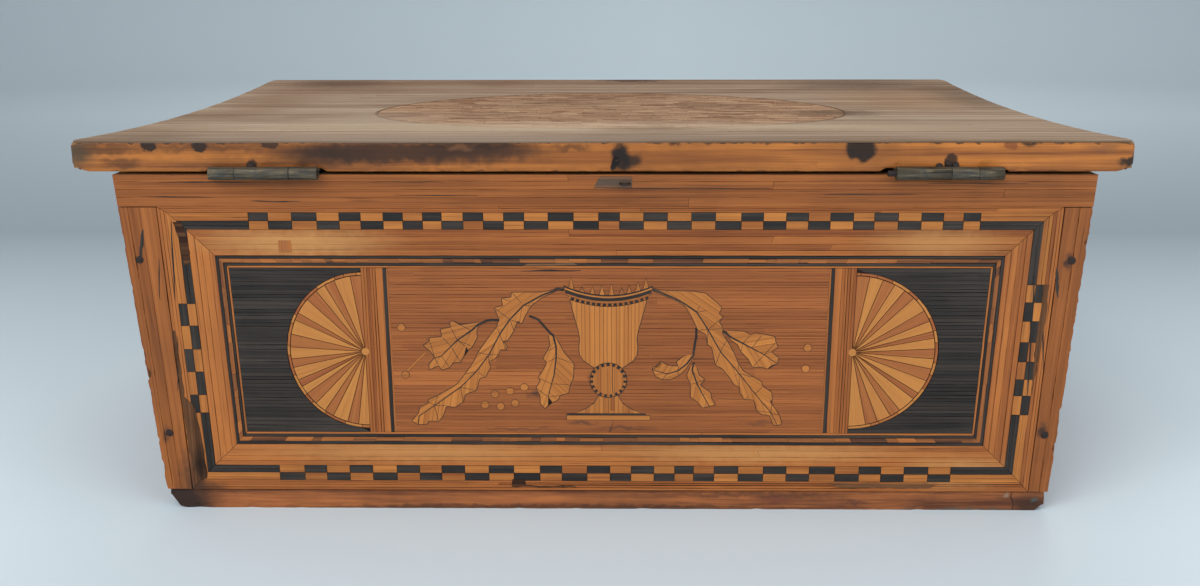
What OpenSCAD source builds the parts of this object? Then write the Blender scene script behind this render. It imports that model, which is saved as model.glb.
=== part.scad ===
// Table box with a cupped lid on two butt hinges and marquetry on its four leaning sides.
// +Z is up, the hinged back faces -Y, and the origin is on the floor under the middle of the whole.

/* [Body] */
// Width across the rim
body_w = 353; // [330:1:400]
// Depth across the rim
body_d = 258; // [230:1:320]
// Height from the floor to the rim
body_h = 132; // [115:1:170]
// Thickness of the four side boards
wall_t = 8; // [7:0.5:12]
// Thickness of the bottom board
bottom_t = 8; // [6:0.5:12]
// Lean of the back, in degrees from upright
lean_back = 3; // [0:0.1:5]
// Lean of the front
lean_front = 3; // [0:0.1:5]
// Lean of the left end, seen from the back
lean_left = 3.2; // [0:0.1:5]
// Lean of the right end, seen from the back
lean_right = 2.4; // [0:0.1:5]

/* [Lid] */
// How far the lid stands out at each end
lid_over_end = 13.5; // [6:0.5:25]
// How far the lid stands out at the front
lid_over_front = 16; // [6:0.5:25]
// Thickness of the lid at its edges
lid_t = 10; // [9:0.5:14]
// Depth of the hollow across the cupped top
lid_cup = 3.8; // [1:0.1:5]
// How far the underside bows down in the middle
lid_bow = 2; // [0.6:0.1:3]
// Gap between the lowest line of the underside and the rim
lid_gap = 0.3; // [0.2:0.1:1]
// How far the body sits to the right of the lid's middle, seen from the back
body_shift = 1; // [-4:0.5:4]
// Half length of the oval inlay
oval_a = 107; // [60:1:120]
// Half depth of the oval inlay
oval_b = 78; // [40:1:85]
// Width of the dark line round the oval
oval_line = 1.2; // [0.8:0.1:3]

/* [Hinges] */
// Distance of the left hinge's middle from the left end of the lid
left_hinge_in = 70; // [50:1:100]
// Distance of the right hinge's middle from the right end of the lid
right_hinge_in = 66; // [50:1:100]
// Radius of a knuckle
knuckle_r = 2.4; // [2.2:0.1:2.8]
// Radius of a hinge pin
pin_r = 1.1; // [0.8:0.1:1.4]
// Thickness of a leaf
leaf_t = 0.9; // [0.6:0.1:1]
// Distance of the pin behind the back edge of the lid
pin_out = 2.65; // [2.65:0.05:3.2]
// How far the right pin stands out of its left end
pin_stand = 2.9; // [0.5:0.1:4]
// Radius of the hinge nails
leaf_nail_r = 0.7; // [0.5:0.1:0.9]
// Radius of a hinge nail's head
leaf_nail_head_r = 1.5; // [1.2:0.1:1.9]
// Length of a hinge nail in the lid
lid_nail_l = 5; // [3:0.5:6]
// Length of a hinge nail in the back board
body_nail_l = 13; // [8:0.5:18]

/* [Nails and wire] */
// Radius of the cut nails that hold the boards
nail_r = 0.9; // [0.6:0.1:1.3]
// Radius of their heads
nail_head_r = 1.9; // [1.5:0.1:2.5]
// Length of the nails that hold the corners
corner_nail_l = 30; // [20:1:40]
// Distance of a corner nail from the outside of the end board
nail_inset = 4.8; // [4:0.1:5.5]
// Length of the nails that hold the bottom board
bottom_nail_l = 22; // [16:1:30]
// Radius of the wire of the loop and the stub at the back
wire_r = 0.5; // [0.4:0.1:0.7]
// Inside radius of the wire loop
loop_r = 1.2; // [1:0.1:2]
// How far the wire stub stands out of the lid's edge
stub_out = 1.9; // [1:0.1:2.2]

/* [Marquetry] */
// Thickness of the marquetry
veneer_t = 0.8; // [0.6:0.1:1.2]
// Gap between neighbouring pieces
seam = 0.1; // [0.05:0.05:0.2]
// Width of the plain rail under the rim
rail_w = 11.8; // [8:0.2:14]
// Width of the plain strips beside the corners, at half height
strip_w = 10.9; // [9:0.1:13]
// Width of one row of checks
check_w = 3.2; // [2:0.1:4]
// Length of the checks in the top border
check_top_l = 8; // [6:0.1:11]
// Length of the checks in the bottom border
check_bottom_l = 8.9; // [6:0.1:11]
// Length of the checks in the end borders
check_end_l = 7.9; // [6:0.1:11]
// Length of the plain corner of a border, along each side
corner_l = 28; // [20:1:32]
// Width of the straw band over the panel
band_top = 9.8; // [6:0.1:11]
// Width of the straw band under the panel
band_bottom = 8.7; // [6:0.1:10]
// Width of the straw bands at the ends of the panel
band_end = 9.3; // [6:0.1:11]
// Width of the stringing of three lines round the panel
string_w = 4.7; // [3:0.1:5.5]
// Lean of the borders' end pieces, less than that of the corners
border_lean = 1.2; // [0:0.1:2]
// How far the borders of the back sit to the right of the body's middle
border_shift = 2; // [0:0.1:3]
// Reach of a fan from its flat side
fan_reach = 29.5; // [20:0.5:32]
// Ebonised ground between a fan and the end of the panel
fan_ground = 18.3; // [8:0.1:20]
// Clearance over and under a fan
fan_gap = 1.5; // [0.5:0.1:4]
// Rays in a fan
fan_rays = 20; // [12:2:28]
// Radius of a fan's hub
hub_r = 1.6; // [1:0.1:3]
// Width of the upright strips between a fan and the middle panel
fan_band_w = 9; // [5:0.1:10]

/* [Hidden] */
$fn = 48;

// Colours as the light shows them
pine = [0.72, 0.52, 0.32];
brown = [0.62, 0.38, 0.21];
red_brown = [0.60, 0.36, 0.20];
straw = [0.80, 0.55, 0.28];
pale_straw = [0.86, 0.66, 0.38];
ebonised = [0.16, 0.14, 0.13];
lid_grey = [0.58, 0.48, 0.38];
oval_brown = [0.50, 0.37, 0.26];
iron = [0.25, 0.22, 0.20];
hinge_metal = [0.40, 0.39, 0.33];

// Knuckle lengths along each hinge: body leaf, lid leaf, body leaf
left_knuckles = [9.4, 19.5, 10.1];
right_knuckles = [19.3, 9.7, 9];
knuckle_play = 0.15;
running_fit = 0.05;
// The body leaf's top stands this far over the rim, and the leaf stops short of the board's inside
leaf_rise = 0.3;
leaf_margin = 0.8;
// Play of a leaf in its recess, and of a knuckle beside the other leaf
recess_play = 0.1;
knuckle_gap = 0.3;
leaf_nail_places = [-0.36, 0, 0.36];
leaf_nail_head_t = 0.25;

// Heights of the corner nails as shares of the body's height, and how far their heads stand out
nail_heights = [0.24, 0.76];
nail_head_t = 0.5;
nail_proud = 0.2;
bottom_nail_places = [-0.42, -0.14, 0.14, 0.42];

// Places of the wire loop and the stub from the body's middle
loop_x = 8;
loop_drop = 3.2;
loop_leg = 5;
stub_x = 5;
stub_rise = 3;
stub_leg = 8;

// The body's middle and the plane of its back edge at the rim, which is also the lid's back edge
lid_w = body_w + 2 * lid_over_end;
lid_d = body_d + lid_over_front;
hinge_out = pin_out + knuckle_r;
back_edge = (hinge_out - lid_d) / 2;
body_x = body_shift;
left_hinge_x = left_hinge_in - lid_w / 2;
right_hinge_x = lid_w / 2 - right_hinge_in;
body_mid_y = back_edge + body_d / 2;
lid_mid_y = back_edge + lid_d / 2;
reach = 2 * (body_w + body_d);
board_in = veneer_t + wall_t;

// Heights of the lid, at its middle line and at its edges
under_mid = body_h + lid_gap;
under_edge = under_mid + lid_bow;
top_edge = under_edge + lid_t;
top_mid = top_edge - lid_cup;
arc_steps = 24;

// The hinge: the body leaf is let into the rim, and the lid leaf lies flush with the lid's back edge
body_leaf_top = body_h + leaf_rise;
lid_leaf_low = under_edge - leaf_t;
pin_y = back_edge - pin_out;
pin_z = (body_leaf_top + lid_leaf_low) / 2;
leaf_w = board_in - leaf_margin;
leaf_nail_y = back_edge + veneer_t + (leaf_w - veneer_t) / 2;

// Each side: middle, half width at half height, lean and shift of its borders
mid_z = body_h / 2;
long_half = body_w / 2 - mid_z * (tan(lean_left) + tan(lean_right)) / 2;
end_half = body_d / 2 - mid_z * (tan(lean_back) + tan(lean_front)) / 2 - veneer_t;
back_face = [long_half, lean_back, border_shift];
front_face = [long_half, lean_front, 0];
left_face = [end_half, lean_left, 0];
right_face = [end_half, lean_right, 0];

// Widths from the edge to the panel: rail, fine lines, two rows of checks, straw band, stringing
top_widths = [rail_w, 2.1, check_w, check_w, band_top, string_w];
bottom_widths = [0, 4, check_w, check_w, band_bottom, string_w];
end_widths = [strip_w, 3.5, check_w, check_w, band_end, string_w];
string_lines = [0, 0.36, 0.7, 1];
fan_band_lines = [0, 0.2, 0.55, 0.8, 1];

// Bare ground left round the ornament of the middle panel
ornament_margin = 3.2;

// Outlines of the oak leaves from the urn's middle: out along one side, round the tip and back.
// The first leaf of each spray carries its stalk from the rim of the urn.
left_leaves = [
    [[-16.6, 24.9], [-18.5, 25.1], [-21.5, 23.9], [-25.5, 23.3], [-35.6, 23.3], [-35.8, 21.4],
        [-39.4, 20.9], [-38.9, 18.1], [-42.1, 17.3], [-40.5, 13], [-41.3, 10], [-45.7, 4.1],
        [-48.6, -0.2], [-50.5, -4.1], [-53.8, -8.9], [-57.2, -13.2], [-64.4, -17.5], [-68.4, -19.4],
        [-67.6, -20.4], [-71.5, -22.4], [-71.9, -24.5], [-74.8, -28], [-72.5, -29.3], [-69.2, -29.3],
        [-68.3, -27.9], [-64.6, -28], [-63, -26.2], [-61.3, -21.7], [-58.2, -22.3], [-54.9, -20],
        [-54.1, -17], [-49.8, -15.4], [-48.5, -10.6], [-46.2, -10], [-44.1, -6], [-45, -3.8],
        [-43, -3.1], [-41, -1], [-40.3, 1], [-38.1, 0.8], [-37.8, 2.5], [-39.4, 4.2], [-37.5, 4.6],
        [-35.1, 8.4], [-33.7, 12.3], [-32.2, 11.1], [-30.8, 14.2], [-28.6, 18.1], [-24.5, 21.4],
        [-21.3, 22.9], [-18.5, 24.2], [-16.6, 24]],
    [[-48.3, 10.8], [-48.3, 11.6], [-54.8, 10.6], [-57.7, 12.2], [-58.9, 11.6], [-58.5, 9.6],
        [-62.4, 9], [-62, 5.9], [-66.8, 5.5], [-66.6, 4.1], [-69.2, 2.6], [-66.3, 0], [-65, -2.4],
        [-67.3, -4.8], [-67.2, -7.1], [-63.6, -5.4], [-62.4, -7.3], [-59.6, -6.2], [-58.1, -4.2],
        [-55.5, -4.2], [-53.9, -1.4], [-53.1, 2], [-52.4, 0.7], [-50.7, 2.2], [-48.7, 6], [-49, 7.6]],
    [[-20.6, 7], [-22.2, 6.5], [-21.6, 2.7], [-22.8, 0.3], [-24.4, -2.6], [-22.9, -4.2],
        [-24.5, -7.4], [-26.4, -10.3], [-25.4, -11.4], [-27.2, -14.4], [-25.7, -17.5], [-25.7, -20.6],
        [-24, -22.7], [-22.8, -21.4], [-22.7, -18], [-21.2, -20.2], [-19, -19.2], [-18.4, -17.4],
        [-15, -16.4], [-14.4, -13], [-13.1, -10.3], [-12.9, -4.6], [-16.6, -0.2], [-19.2, 5.1]]
];
right_leaves = [
    [[16.6, 25], [18.6, 24.3], [22, 24], [31.7, 23.7], [35.6, 23.1], [40.1, 19.3], [41.9, 17.5],
        [40.9, 15.2], [42.4, 13.8], [41, 11.9], [42.5, 9.5], [42.3, 7.3], [44, 4.8], [47.1, -0.7],
        [48.6, -4.5], [50.5, -7.4], [54.3, -9.8], [57.5, -11.6], [58, -13.6], [61.4, -15.8],
        [61.8, -19], [60.9, -19.6], [64.7, -25.2], [65.7, -28.6], [64.2, -29.5], [62.5, -29.1],
        [61.1, -25.3], [58.2, -25], [56, -23.3], [55, -19], [51.2, -18.8], [49.6, -16.2],
        [49.3, -13.8], [47.4, -12.9], [45.7, -10.3], [42.8, -6.5], [40.1, -5], [38.6, 2], [36.9, 3.3],
        [36.4, 6.9], [33.2, 8.9], [31, 13.7], [28.4, 18.1], [24.8, 20.4], [22, 21.6], [18.2, 23.3],
        [16.6, 24]],
    [[43.8, 8.7], [50.5, 8.2], [52.9, 7], [54.6, 7.6], [57.3, 7.2], [61.9, 6.2], [62.2, 4],
        [63.2, 2.2], [60.6, 0.2], [63.6, -2.1], [63, -4.5], [60.8, -5.2], [59.6, -6.6], [57.5, -5.8],
        [54, -5.8], [52.3, -2.6], [49.5, 0.3], [48.1, 3.2], [45.9, 4.6], [44.6, 6.8]],
    [[32, -0.8], [28.8, -1.2], [25.5, -3.8], [26.3, -5.6], [22.1, -5.2], [19.6, -3.6], [19.4, -5.8],
        [16.8, -5.8], [16.6, -7], [17.8, -9.6], [20.2, -10.9], [23.1, -10.9], [26.4, -9.3],
        [28.8, -6.9], [31.3, -3]],
    [[32, -4], [30.7, -5.8], [29.4, -9.2], [31, -12.8], [31, -18], [33.7, -19.9], [35.6, -22.3],
        [38.2, -21.6], [40.4, -21], [38.9, -18.5], [38.5, -16.1], [34.4, -13.1], [36.2, -10.8],
        [33.9, -9], [33.2, -6.5]]
];
// Middles of the stalks of the other leaves, which start and end inside a leaf
stalks = [
    [[-39.6, 12.4], [-42.8, 12.6], [-45.2, 12.3], [-47.1, 11.3], [-49.4, 10]],
    [[-30.8, 15.4], [-29, 14.1], [-26, 12.8], [-23.6, 9.9], [-21.6, 7.5], [-20.6, 5.6]],
    [[33.6, 10.2], [32.7, 8], [32.7, 6], [32.2, 3.2], [31.2, -1.8]],
    [[41.6, 9], [43.2, 7.9], [45.6, 6.8]]
];
stalk_w = 0.9;
berries = [
    [-77, 9.6], [-76.3, -9.2], [-42.8, -16.9], [-37.1, -15.7], [-31.7, -14.1], [-46.7, -21.3],
    [-40.8, -21.9], [-35.3, -20.6], [74.2, 1.8], [73.8, -6.4]
];
berry_r = 1.5;
// Share of an edge that rounding takes from each of its ends
leaf_rounding = 0.2;
// Angle between the corners of a fan's hub
hub_step = 15;

// Right half of the urn's cup and foot from its middle, downwards
cup_half = [
    [13.8, 18.6], [12.4, 13], [11.1, 8.6], [10.6, 5.4], [10.9, 1.8], [10.4, -1], [8.6, -3], [5.6, -4.2]
];
foot_half = [[3.6, -18], [5.4, -20.6], [8.4, -22.8], [12.8, -24.6]];
rim_half = 16;
rim_high = 26;
rim_dip = 3.5;
rim_band = 2.6;
rim_steps = 8;
// Spikes over the rim: place across and height
spikes = [
    [-13.7, 4.4], [-9.7, 1.8], [-5.8, 2.7], [-2.3, 3.3], [1.1, 4.3], [5, 2.4], [7.7, 2.8],
    [10.9, 3.4], [13.9, 3.8]
];
spike_half = 1.1;
ring_z = -11.2;
ring_r = 6.9;
ring_band = 1.6;
slab_half = 15.8;
slab_top = -25.4;
slab_low = -27.3;

// The lid's top and underside across its depth, both lowest at the middle line
function lid_curve(y) = pow((y - lid_mid_y) / (lid_d / 2), 2);
function top_z(y, depth = 0) = top_mid + lid_cup * lid_curve(y) - depth;
function under_z(y) = under_mid + lid_bow * lid_curve(y);
function lid_ys(inset) =
    [for (i = [0:arc_steps]) back_edge + inset + i * (lid_d - 2 * inset) / arc_steps];

// Outside planes of the four sides at height z, moved inwards by an inset
function back_y(z, inset = 0) = back_edge + (body_h - z) * tan(lean_back) + inset / cos(lean_back);
function front_y(z, inset = 0) =
    back_edge + body_d - (body_h - z) * tan(lean_front) - inset / cos(lean_front);
function left_x(z, inset = 0) =
    body_x - body_w / 2 + (body_h - z) * tan(lean_left) + inset / cos(lean_left);
function right_x(z, inset = 0) =
    body_x + body_w / 2 - (body_h - z) * tan(lean_right) - inset / cos(lean_right);

// Sum of the first k widths of a list, where k may lie between two of them
function inset_at(widths, k, i = 0) =
    i >= k ? 0 : widths[i] * min(1, k - i) + inset_at(widths, k, i + 1);

// Lines of a side's borders in its own plane: heights up the slope and places across
function slope_h(face) = body_h / cos(face[1]);
function top_line(face, k) = slope_h(face) - inset_at(top_widths, k);
function bottom_line(face, k) = bottom_t / cos(face[1]) + inset_at(bottom_widths, k);
function line_v(face, k, up) = up > 0 ? top_line(face, k) : bottom_line(face, k);
function line_u(face, k, way, v) =
    face[2] + way * (face[0] - inset_at(end_widths, k) + (v - slope_h(face) / 2) * tan(border_lean));
function corner(face, k, way, up) =
    let (v = line_v(face, k, up)) [line_u(face, k, way, v), v];
function frame_points(face, k) =
    [for (c = [[-1, -1], [1, -1], [1, 1], [-1, 1]]) corner(face, k, c[0], c[1])];

// Ends of the runs of checks, and the odd number of checks that fills a run
function run_u(face, way, up) = corner(face, 2, way, up)[0] - way * corner_l;
function run_v(face, up) = line_v(face, 2, up) - up * corner_l;
function odd_count(run, check_l) = 2 * floor(run / check_l / 2) + 1;

// The panel inside the stringing
function panel_mid_v(face) = (top_line(face, 6) + bottom_line(face, 6)) / 2;
function panel_h(face) = top_line(face, 6) - bottom_line(face, 6);
function fan_u(face) = face[0] - inset_at(end_widths, 6) - fan_reach - fan_ground;
function middle_half(face) = fan_u(face) - fan_band_w;
function ornament_across(face) =
    (middle_half(face) - ornament_margin) / (max([for (place = berries) abs(place[0])]) + berry_r);
function ornament_up(face) =
    (panel_h(face) / 2 - ornament_margin) / max([for (spike = spikes) rim_v(spike[0]) + spike[1]]);
function fitted(face, point) = [point[0] * ornament_across(face), point[1] * ornament_up(face)];

// Fan outline from the middle of its flat side, and a point between two outline points
function fan_point(face, way, a) =
    [way * fan_reach * cos(a), (panel_h(face) / 2 - fan_gap) * sin(a)];
function between(a, b, share) = a + (b - a) * share;

// Closed outline with each corner cut into two
function rounded(points) =
    [for (i = [0:len(points) - 1], share = [leaf_rounding, 1 - leaf_rounding])
        between(points[i], points[(i + 1) % len(points)], share)];

// One side of a ribbon along a line of points, and its outline
function ribbon_side(points, half) =
    [for (i = [0:len(points) - 1])
        let (d = points[min(i + 1, len(points) - 1)] - points[max(i - 1, 0)])
        points[i] + half / norm(d) * [-d[1], d[0]]];
function ribbon(points, width) =
    concat(ribbon_side(points, width / 2), reversed(ribbon_side(points, -width / 2)));
function reversed(list) = [for (i = [len(list) - 1:-1:0]) list[i]];
function mirrored_points(half) = concat(half, reversed([for (p = half) [-p[0], p[1]]]));

// Height of the urn's rim across its width
function rim_v(u) = rim_high - rim_dip * (1 - pow(u / rim_half, 2));

// Long prism with a section across Y and Z, or across X and Z
module yz_prism(points) {
    rotate([90, 0, 90]) linear_extrude(reach, center = true) polygon(points);
}
module xz_prism(points) {
    rotate([90, 0, 0]) linear_extrude(reach, center = true) polygon(points);
}

// Everything between the left and right planes, or between the back and front planes
module between_ends(z0, z1, inset) {
    xz_prism([
        [left_x(z0, inset), z0], [right_x(z0, inset), z0],
        [right_x(z1, inset), z1], [left_x(z1, inset), z1]
    ]);
}
module between_long_sides(z0, z1, inset) {
    yz_prism([
        [back_y(z0, inset), z0], [front_y(z0, inset), z0],
        [front_y(z1, inset), z1], [back_y(z1, inset), z1]
    ]);
}

// Planes of the four sides: X across, Y up the slope from the floor, Z outwards
module on_back() {
    translate([body_x, back_y(0), 0]) rotate([90 + lean_back, 0, 0]) children();
}
module on_front() {
    translate([body_x, front_y(0), 0]) rotate([0, 0, 180]) rotate([90 + lean_front, 0, 0]) children();
}
module on_left() {
    translate([left_x(0), body_mid_y, 0]) rotate([0, 0, -90]) rotate([90 + lean_left, 0, 0]) children();
}
module on_right() {
    translate([right_x(0), body_mid_y, 0]) rotate([0, 0, 90]) rotate([90 + lean_right, 0, 0]) children();
}
module veneer() {
    translate([0, 0, -veneer_t]) linear_extrude(veneer_t) children();
}

// Corner nails, driven square to the back or front into the end boards
module nail(length, shank_r, head_r, head_t) {
    translate([0, 0, -length]) cylinder(h = length, r = shank_r);
    translate([0, 0, -head_t]) cylinder(h = head_t, r = head_r);
}
module corner_nails(back) {
    face = back ? back_face : front_face;
    for (share = nail_heights, way = [-1, 1]) {
        z = share * body_h;
        edge = (way < 0) == back ? left_x(z) : right_x(z);
        u = back ? edge - body_x : body_x - edge;
        translate([u - way * nail_inset, z / cos(face[1]), nail_proud])
            nail(corner_nail_l, nail_r, nail_head_r, nail_head_t);
    }
}
module all_corner_nails() {
    on_back() corner_nails(true);
    on_front() corner_nails(false);
}
module wall_nails() {
    color(iron) all_corner_nails();
}

// Nails up through the bottom board into the side boards
module floor_nails() {
    middle = veneer_t + wall_t / 2;
    for (share = bottom_nail_places) {
        x = body_x + share * (body_w - 2 * board_in);
        for (y = [back_y(bottom_t, middle), front_y(bottom_t, middle)]) translate([x, y, 0])
            mirror([0, 0, 1]) nail(bottom_nail_l, nail_r, nail_head_r, nail_head_t);
    }
    for (share = [bottom_nail_places[1], bottom_nail_places[2]]) {
        y = body_mid_y + share * 2 * (body_d - 2 * board_in);
        for (x = [left_x(bottom_t, middle), right_x(bottom_t, middle)]) translate([x, y, 0])
            mirror([0, 0, 1]) nail(bottom_nail_l, nail_r, nail_head_r, nail_head_t);
    }
}
module bottom_nails() {
    color(iron) floor_nails();
}

// Boards of the body
module bottom_board() {
    color(brown) difference() {
        intersection() {
            between_ends(0, bottom_t, veneer_t);
            between_long_sides(0, bottom_t, veneer_t);
        }
        floor_nails();
    }
}
module long_board(outer, inner) {
    difference() {
        intersection() {
            yz_prism([
                [outer[0], bottom_t], [inner[0], bottom_t], [inner[1], body_h], [outer[1], body_h]
            ]);
            between_ends(bottom_t, body_h, veneer_t);
        }
        floor_nails();
        all_corner_nails();
    }
}
module back_wall() {
    color(pine) difference() {
        long_board([back_y(bottom_t, veneer_t), back_y(body_h, veneer_t)],
            [back_y(bottom_t, board_in), back_y(body_h, board_in)]);
        body_leaf_recesses();
        body_leaf_nails();
        wire_loop();
    }
}
module front_wall() {
    color(pine) long_board([front_y(bottom_t, veneer_t), front_y(body_h, veneer_t)],
        [front_y(bottom_t, board_in), front_y(body_h, board_in)]);
}
module end_board(outer, inner) {
    difference() {
        intersection() {
            xz_prism([
                [outer[0], bottom_t], [inner[0], bottom_t], [inner[1], body_h], [outer[1], body_h]
            ]);
            between_long_sides(bottom_t, body_h, board_in);
        }
        floor_nails();
        all_corner_nails();
    }
}
module left_wall() {
    color(pine) end_board([left_x(bottom_t, veneer_t), left_x(body_h, veneer_t)],
        [left_x(bottom_t, board_in), left_x(body_h, board_in)]);
}
module right_wall() {
    color(pine) end_board([right_x(bottom_t, veneer_t), right_x(body_h, veneer_t)],
        [right_x(bottom_t, board_in), right_x(body_h, board_in)]);
}

// Plain rail under the rim and the tapering strips beside the corners
module edge_rails(face) {
    rail_low = top_line(face, 1);
    veneer() difference() {
        translate([-reach / 2, 0]) square([reach, 2 * body_h]);
        polygon([
            [line_u(face, 1, -1, 0), 0], [line_u(face, 1, 1, 0), 0],
            corner(face, 1, 1, 1), corner(face, 1, -1, 1)
        ]);
        translate([-reach / 2, rail_low - seam]) square([reach, seam]);
    }
}
module long_side_trim() {
    intersection() {
        children();
        between_ends(bottom_t, body_h, 0);
    }
}
module end_side_trim() {
    intersection() {
        children();
        between_long_sides(bottom_t, body_h, veneer_t);
    }
}

// A frame between two lines of the borders, cut at its mitres
module mitre_cut(from, to) {
    way = (to - from) / norm(to - from);
    across = seam / 2 * [-way[1], way[0]];
    polygon([from - way - across, to + way - across, to + way + across, from - way + across]);
}
module mitred_frame(face, k0, k1) {
    difference() {
        polygon(frame_points(face, k0));
        polygon(frame_points(face, k1));
        for (way = [-1, 1], up = [-1, 1]) mitre_cut(corner(face, k0, way, up), corner(face, k1, way, up));
    }
}
module straw_bands(face) {
    veneer() {
        mitred_frame(face, 1, 2);
        mitred_frame(face, 4, 5);
        for (way = [-1, 1], i = [0:len(fan_band_lines) - 2]) {
            near = middle_half(face) + fan_band_lines[i] * fan_band_w + seam / 2;
            far = middle_half(face) + fan_band_lines[i + 1] * fan_band_w - seam / 2;
            upright_strip(face[2] + way * near, face[2] + way * far, face);
        }
    }
}
module upright_strip(u0, u1, face) {
    v0 = bottom_line(face, 6);
    v1 = top_line(face, 6);
    polygon([[u0, v0], [u1, v0], [u1, v1], [u0, v1]]);
}
module stringing(face) {
    veneer() for (i = [0:len(string_lines) - 2])
        mitred_frame(face, 5 + string_lines[i], 5 + string_lines[i + 1] - seam / string_w);
}

// Two rows of checks in a border. The odd checks of one row are dark, the even ones of the other.
module long_checks(face, up, dark) {
    u0 = run_u(face, -1, up);
    run = run_u(face, 1, up) - u0;
    count = odd_count(run, up > 0 ? check_top_l : check_bottom_l);
    for (i = [0:count - 1]) {
        row = (i % 2 == 0) == dark ? 2 : 3;
        v0 = min(line_v(face, row, up), line_v(face, row + 1, up));
        translate([u0 + i * run / count + seam / 2, v0 + seam / 2])
            square([run / count - seam, check_w - seam]);
    }
}
module end_checks(face, way, dark) {
    v0 = run_v(face, -1);
    run = run_v(face, 1) - v0;
    count = odd_count(run, check_end_l);
    for (i = [0:count - 1]) {
        row = (i % 2 == 0) == dark ? 2 : 3;
        border_piece(face, way, row, v0 + i * run / count + seam / 2, v0 + (i + 1) * run / count - seam / 2);
    }
}
module border_piece(face, way, row, low, high) {
    k0 = row + seam / 2 / check_w;
    k1 = row + 1 - seam / 2 / check_w;
    polygon([
        [line_u(face, k0, way, low), low], [line_u(face, k1, way, low), low],
        [line_u(face, k1, way, high), high], [line_u(face, k0, way, high), high]
    ]);
}
module border_corner(face, way, up, row) {
    k0 = row + seam / 2 / check_w;
    k1 = row + 1 - seam / 2 / check_w;
    u = run_u(face, way, up) + way * seam / 2;
    v = run_v(face, up) + up * seam / 2;
    polygon([
        [u, line_v(face, k0, up)], corner(face, k0, way, up), [line_u(face, k0, way, v), v],
        [line_u(face, k1, way, v), v], corner(face, k1, way, up), [u, line_v(face, k1, up)]
    ]);
}
module checks(face, dark) {
    veneer() for (up = [-1, 1]) {
        long_checks(face, up, dark);
        end_checks(face, up, dark);
        for (way = [-1, 1]) border_corner(face, way, up, dark ? 3 : 2);
    }
}

// Ebonised ends of the panel with a fan let into each
module fan_outline(face, way) {
    step = 90 / fan_rays;
    polygon([for (i = [0:2 * fan_rays]) fan_point(face, way, i * step - 90)]);
}
module at_fan(face, way) {
    translate([face[2] + way * fan_u(face), panel_mid_v(face)]) children();
}
module end_panels(face) {
    veneer() for (way = [-1, 1]) difference() {
        flat_u = face[2] + way * fan_u(face);
        polygon([
            [flat_u, bottom_line(face, 6)], corner(face, 6, way, -1),
            corner(face, 6, way, 1), [flat_u, top_line(face, 6)]
        ]);
        at_fan(face, way) fan_outline(face, way);
    }
}
module fan_ray(face, way, i) {
    step = 180 / fan_rays;
    a = i * step - 90;
    p0 = fan_point(face, way, a);
    p1 = fan_point(face, way, a + step / 2);
    p2 = fan_point(face, way, a + step);
    slit0 = seam / norm(p1 - p0);
    slit1 = seam / norm(p2 - p1);
    near0 = between([0, 0], p0, hub_r / norm(p0)) + slit0 * hub_r / fan_reach * (p1 - p0);
    near2 = between([0, 0], p2, hub_r / norm(p2)) - slit1 * hub_r / fan_reach * (p2 - p1);
    polygon([near0, between(p0, p1, slit0), p1, between(p2, p1, slit1), near2]);
}
module fan_hub(way) {
    polygon([for (a = [-90:hub_step:90]) (hub_r - seam) * [way * cos(a), sin(a)]]);
}
module fans(face) {
    for (way = [-1, 1]) {
        color(pale_straw) veneer() at_fan(face, way) {
            fan_hub(way);
            for (i = [0:2:fan_rays - 1]) fan_ray(face, way, i);
        }
        color(straw) veneer() at_fan(face, way) for (i = [1:2:fan_rays - 1]) fan_ray(face, way, i);
    }
}

// Ornament of the middle panel: an urn between oak sprays with berries, stretched to fit the panel
module fitted_polygon(face, points) {
    polygon([for (point = points) fitted(face, point)]);
}
module fitted_circle(face, place, r) {
    translate(fitted(face, place)) circle(r = r * ornament_up(face));
}
module urn_band(face) {
    us = [for (i = [-rim_steps:rim_steps]) i * rim_half / rim_steps];
    fitted_polygon(face, concat(
        [for (u = us) [u, rim_v(u)]],
        reversed([for (u = us) [u * (1 - 0.4 * rim_band / rim_half), rim_v(u) - rim_band]])
    ));
}
module urn_spikes(face, sunk) {
    for (spike = spikes) {
        u0 = spike[0] - spike_half;
        u1 = spike[0] + spike_half;
        fitted_polygon(face, [
            [u0, rim_v(u0) + seam - sunk], [u0, rim_v(u0) + 2 * seam],
            [spike[0], rim_v(spike[0]) + spike[1]],
            [u1, rim_v(u1) + 2 * seam], [u1, rim_v(u1) + seam - sunk]
        ]);
    }
}
module urn_cup(face, lift) {
    fitted_polygon(face, mirrored_points(concat(
        [for (i = [0:rim_steps]) let (u = cup_half[0][0] * i / rim_steps) [u, rim_v(u) - rim_band + lift]],
        cup_half
    )));
}
module urn_slab(face) {
    fitted_polygon(face, [
        [-slab_half, slab_low], [slab_half, slab_low], [slab_half, slab_top], [-slab_half, slab_top]
    ]);
}
module urn_shape(face) {
    urn_band(face);
    urn_spikes(face, 0);
    urn_cup(face, -seam);
    fitted_circle(face, [0, ring_z], ring_r - ring_band);
    difference() {
        fitted_circle(face, [0, ring_z], ring_r);
        fitted_circle(face, [0, ring_z], ring_r - ring_band + seam);
    }
    difference() {
        fitted_polygon(face, mirrored_points(foot_half));
        fitted_circle(face, [0, ring_z], ring_r + seam);
    }
    urn_slab(face);
}
module urn_hole(face) {
    urn_band(face);
    urn_spikes(face, rim_band / 2);
    urn_cup(face, rim_band / 2);
    fitted_circle(face, [0, ring_z], ring_r);
    fitted_polygon(face, mirrored_points(foot_half));
    urn_slab(face);
}
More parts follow.
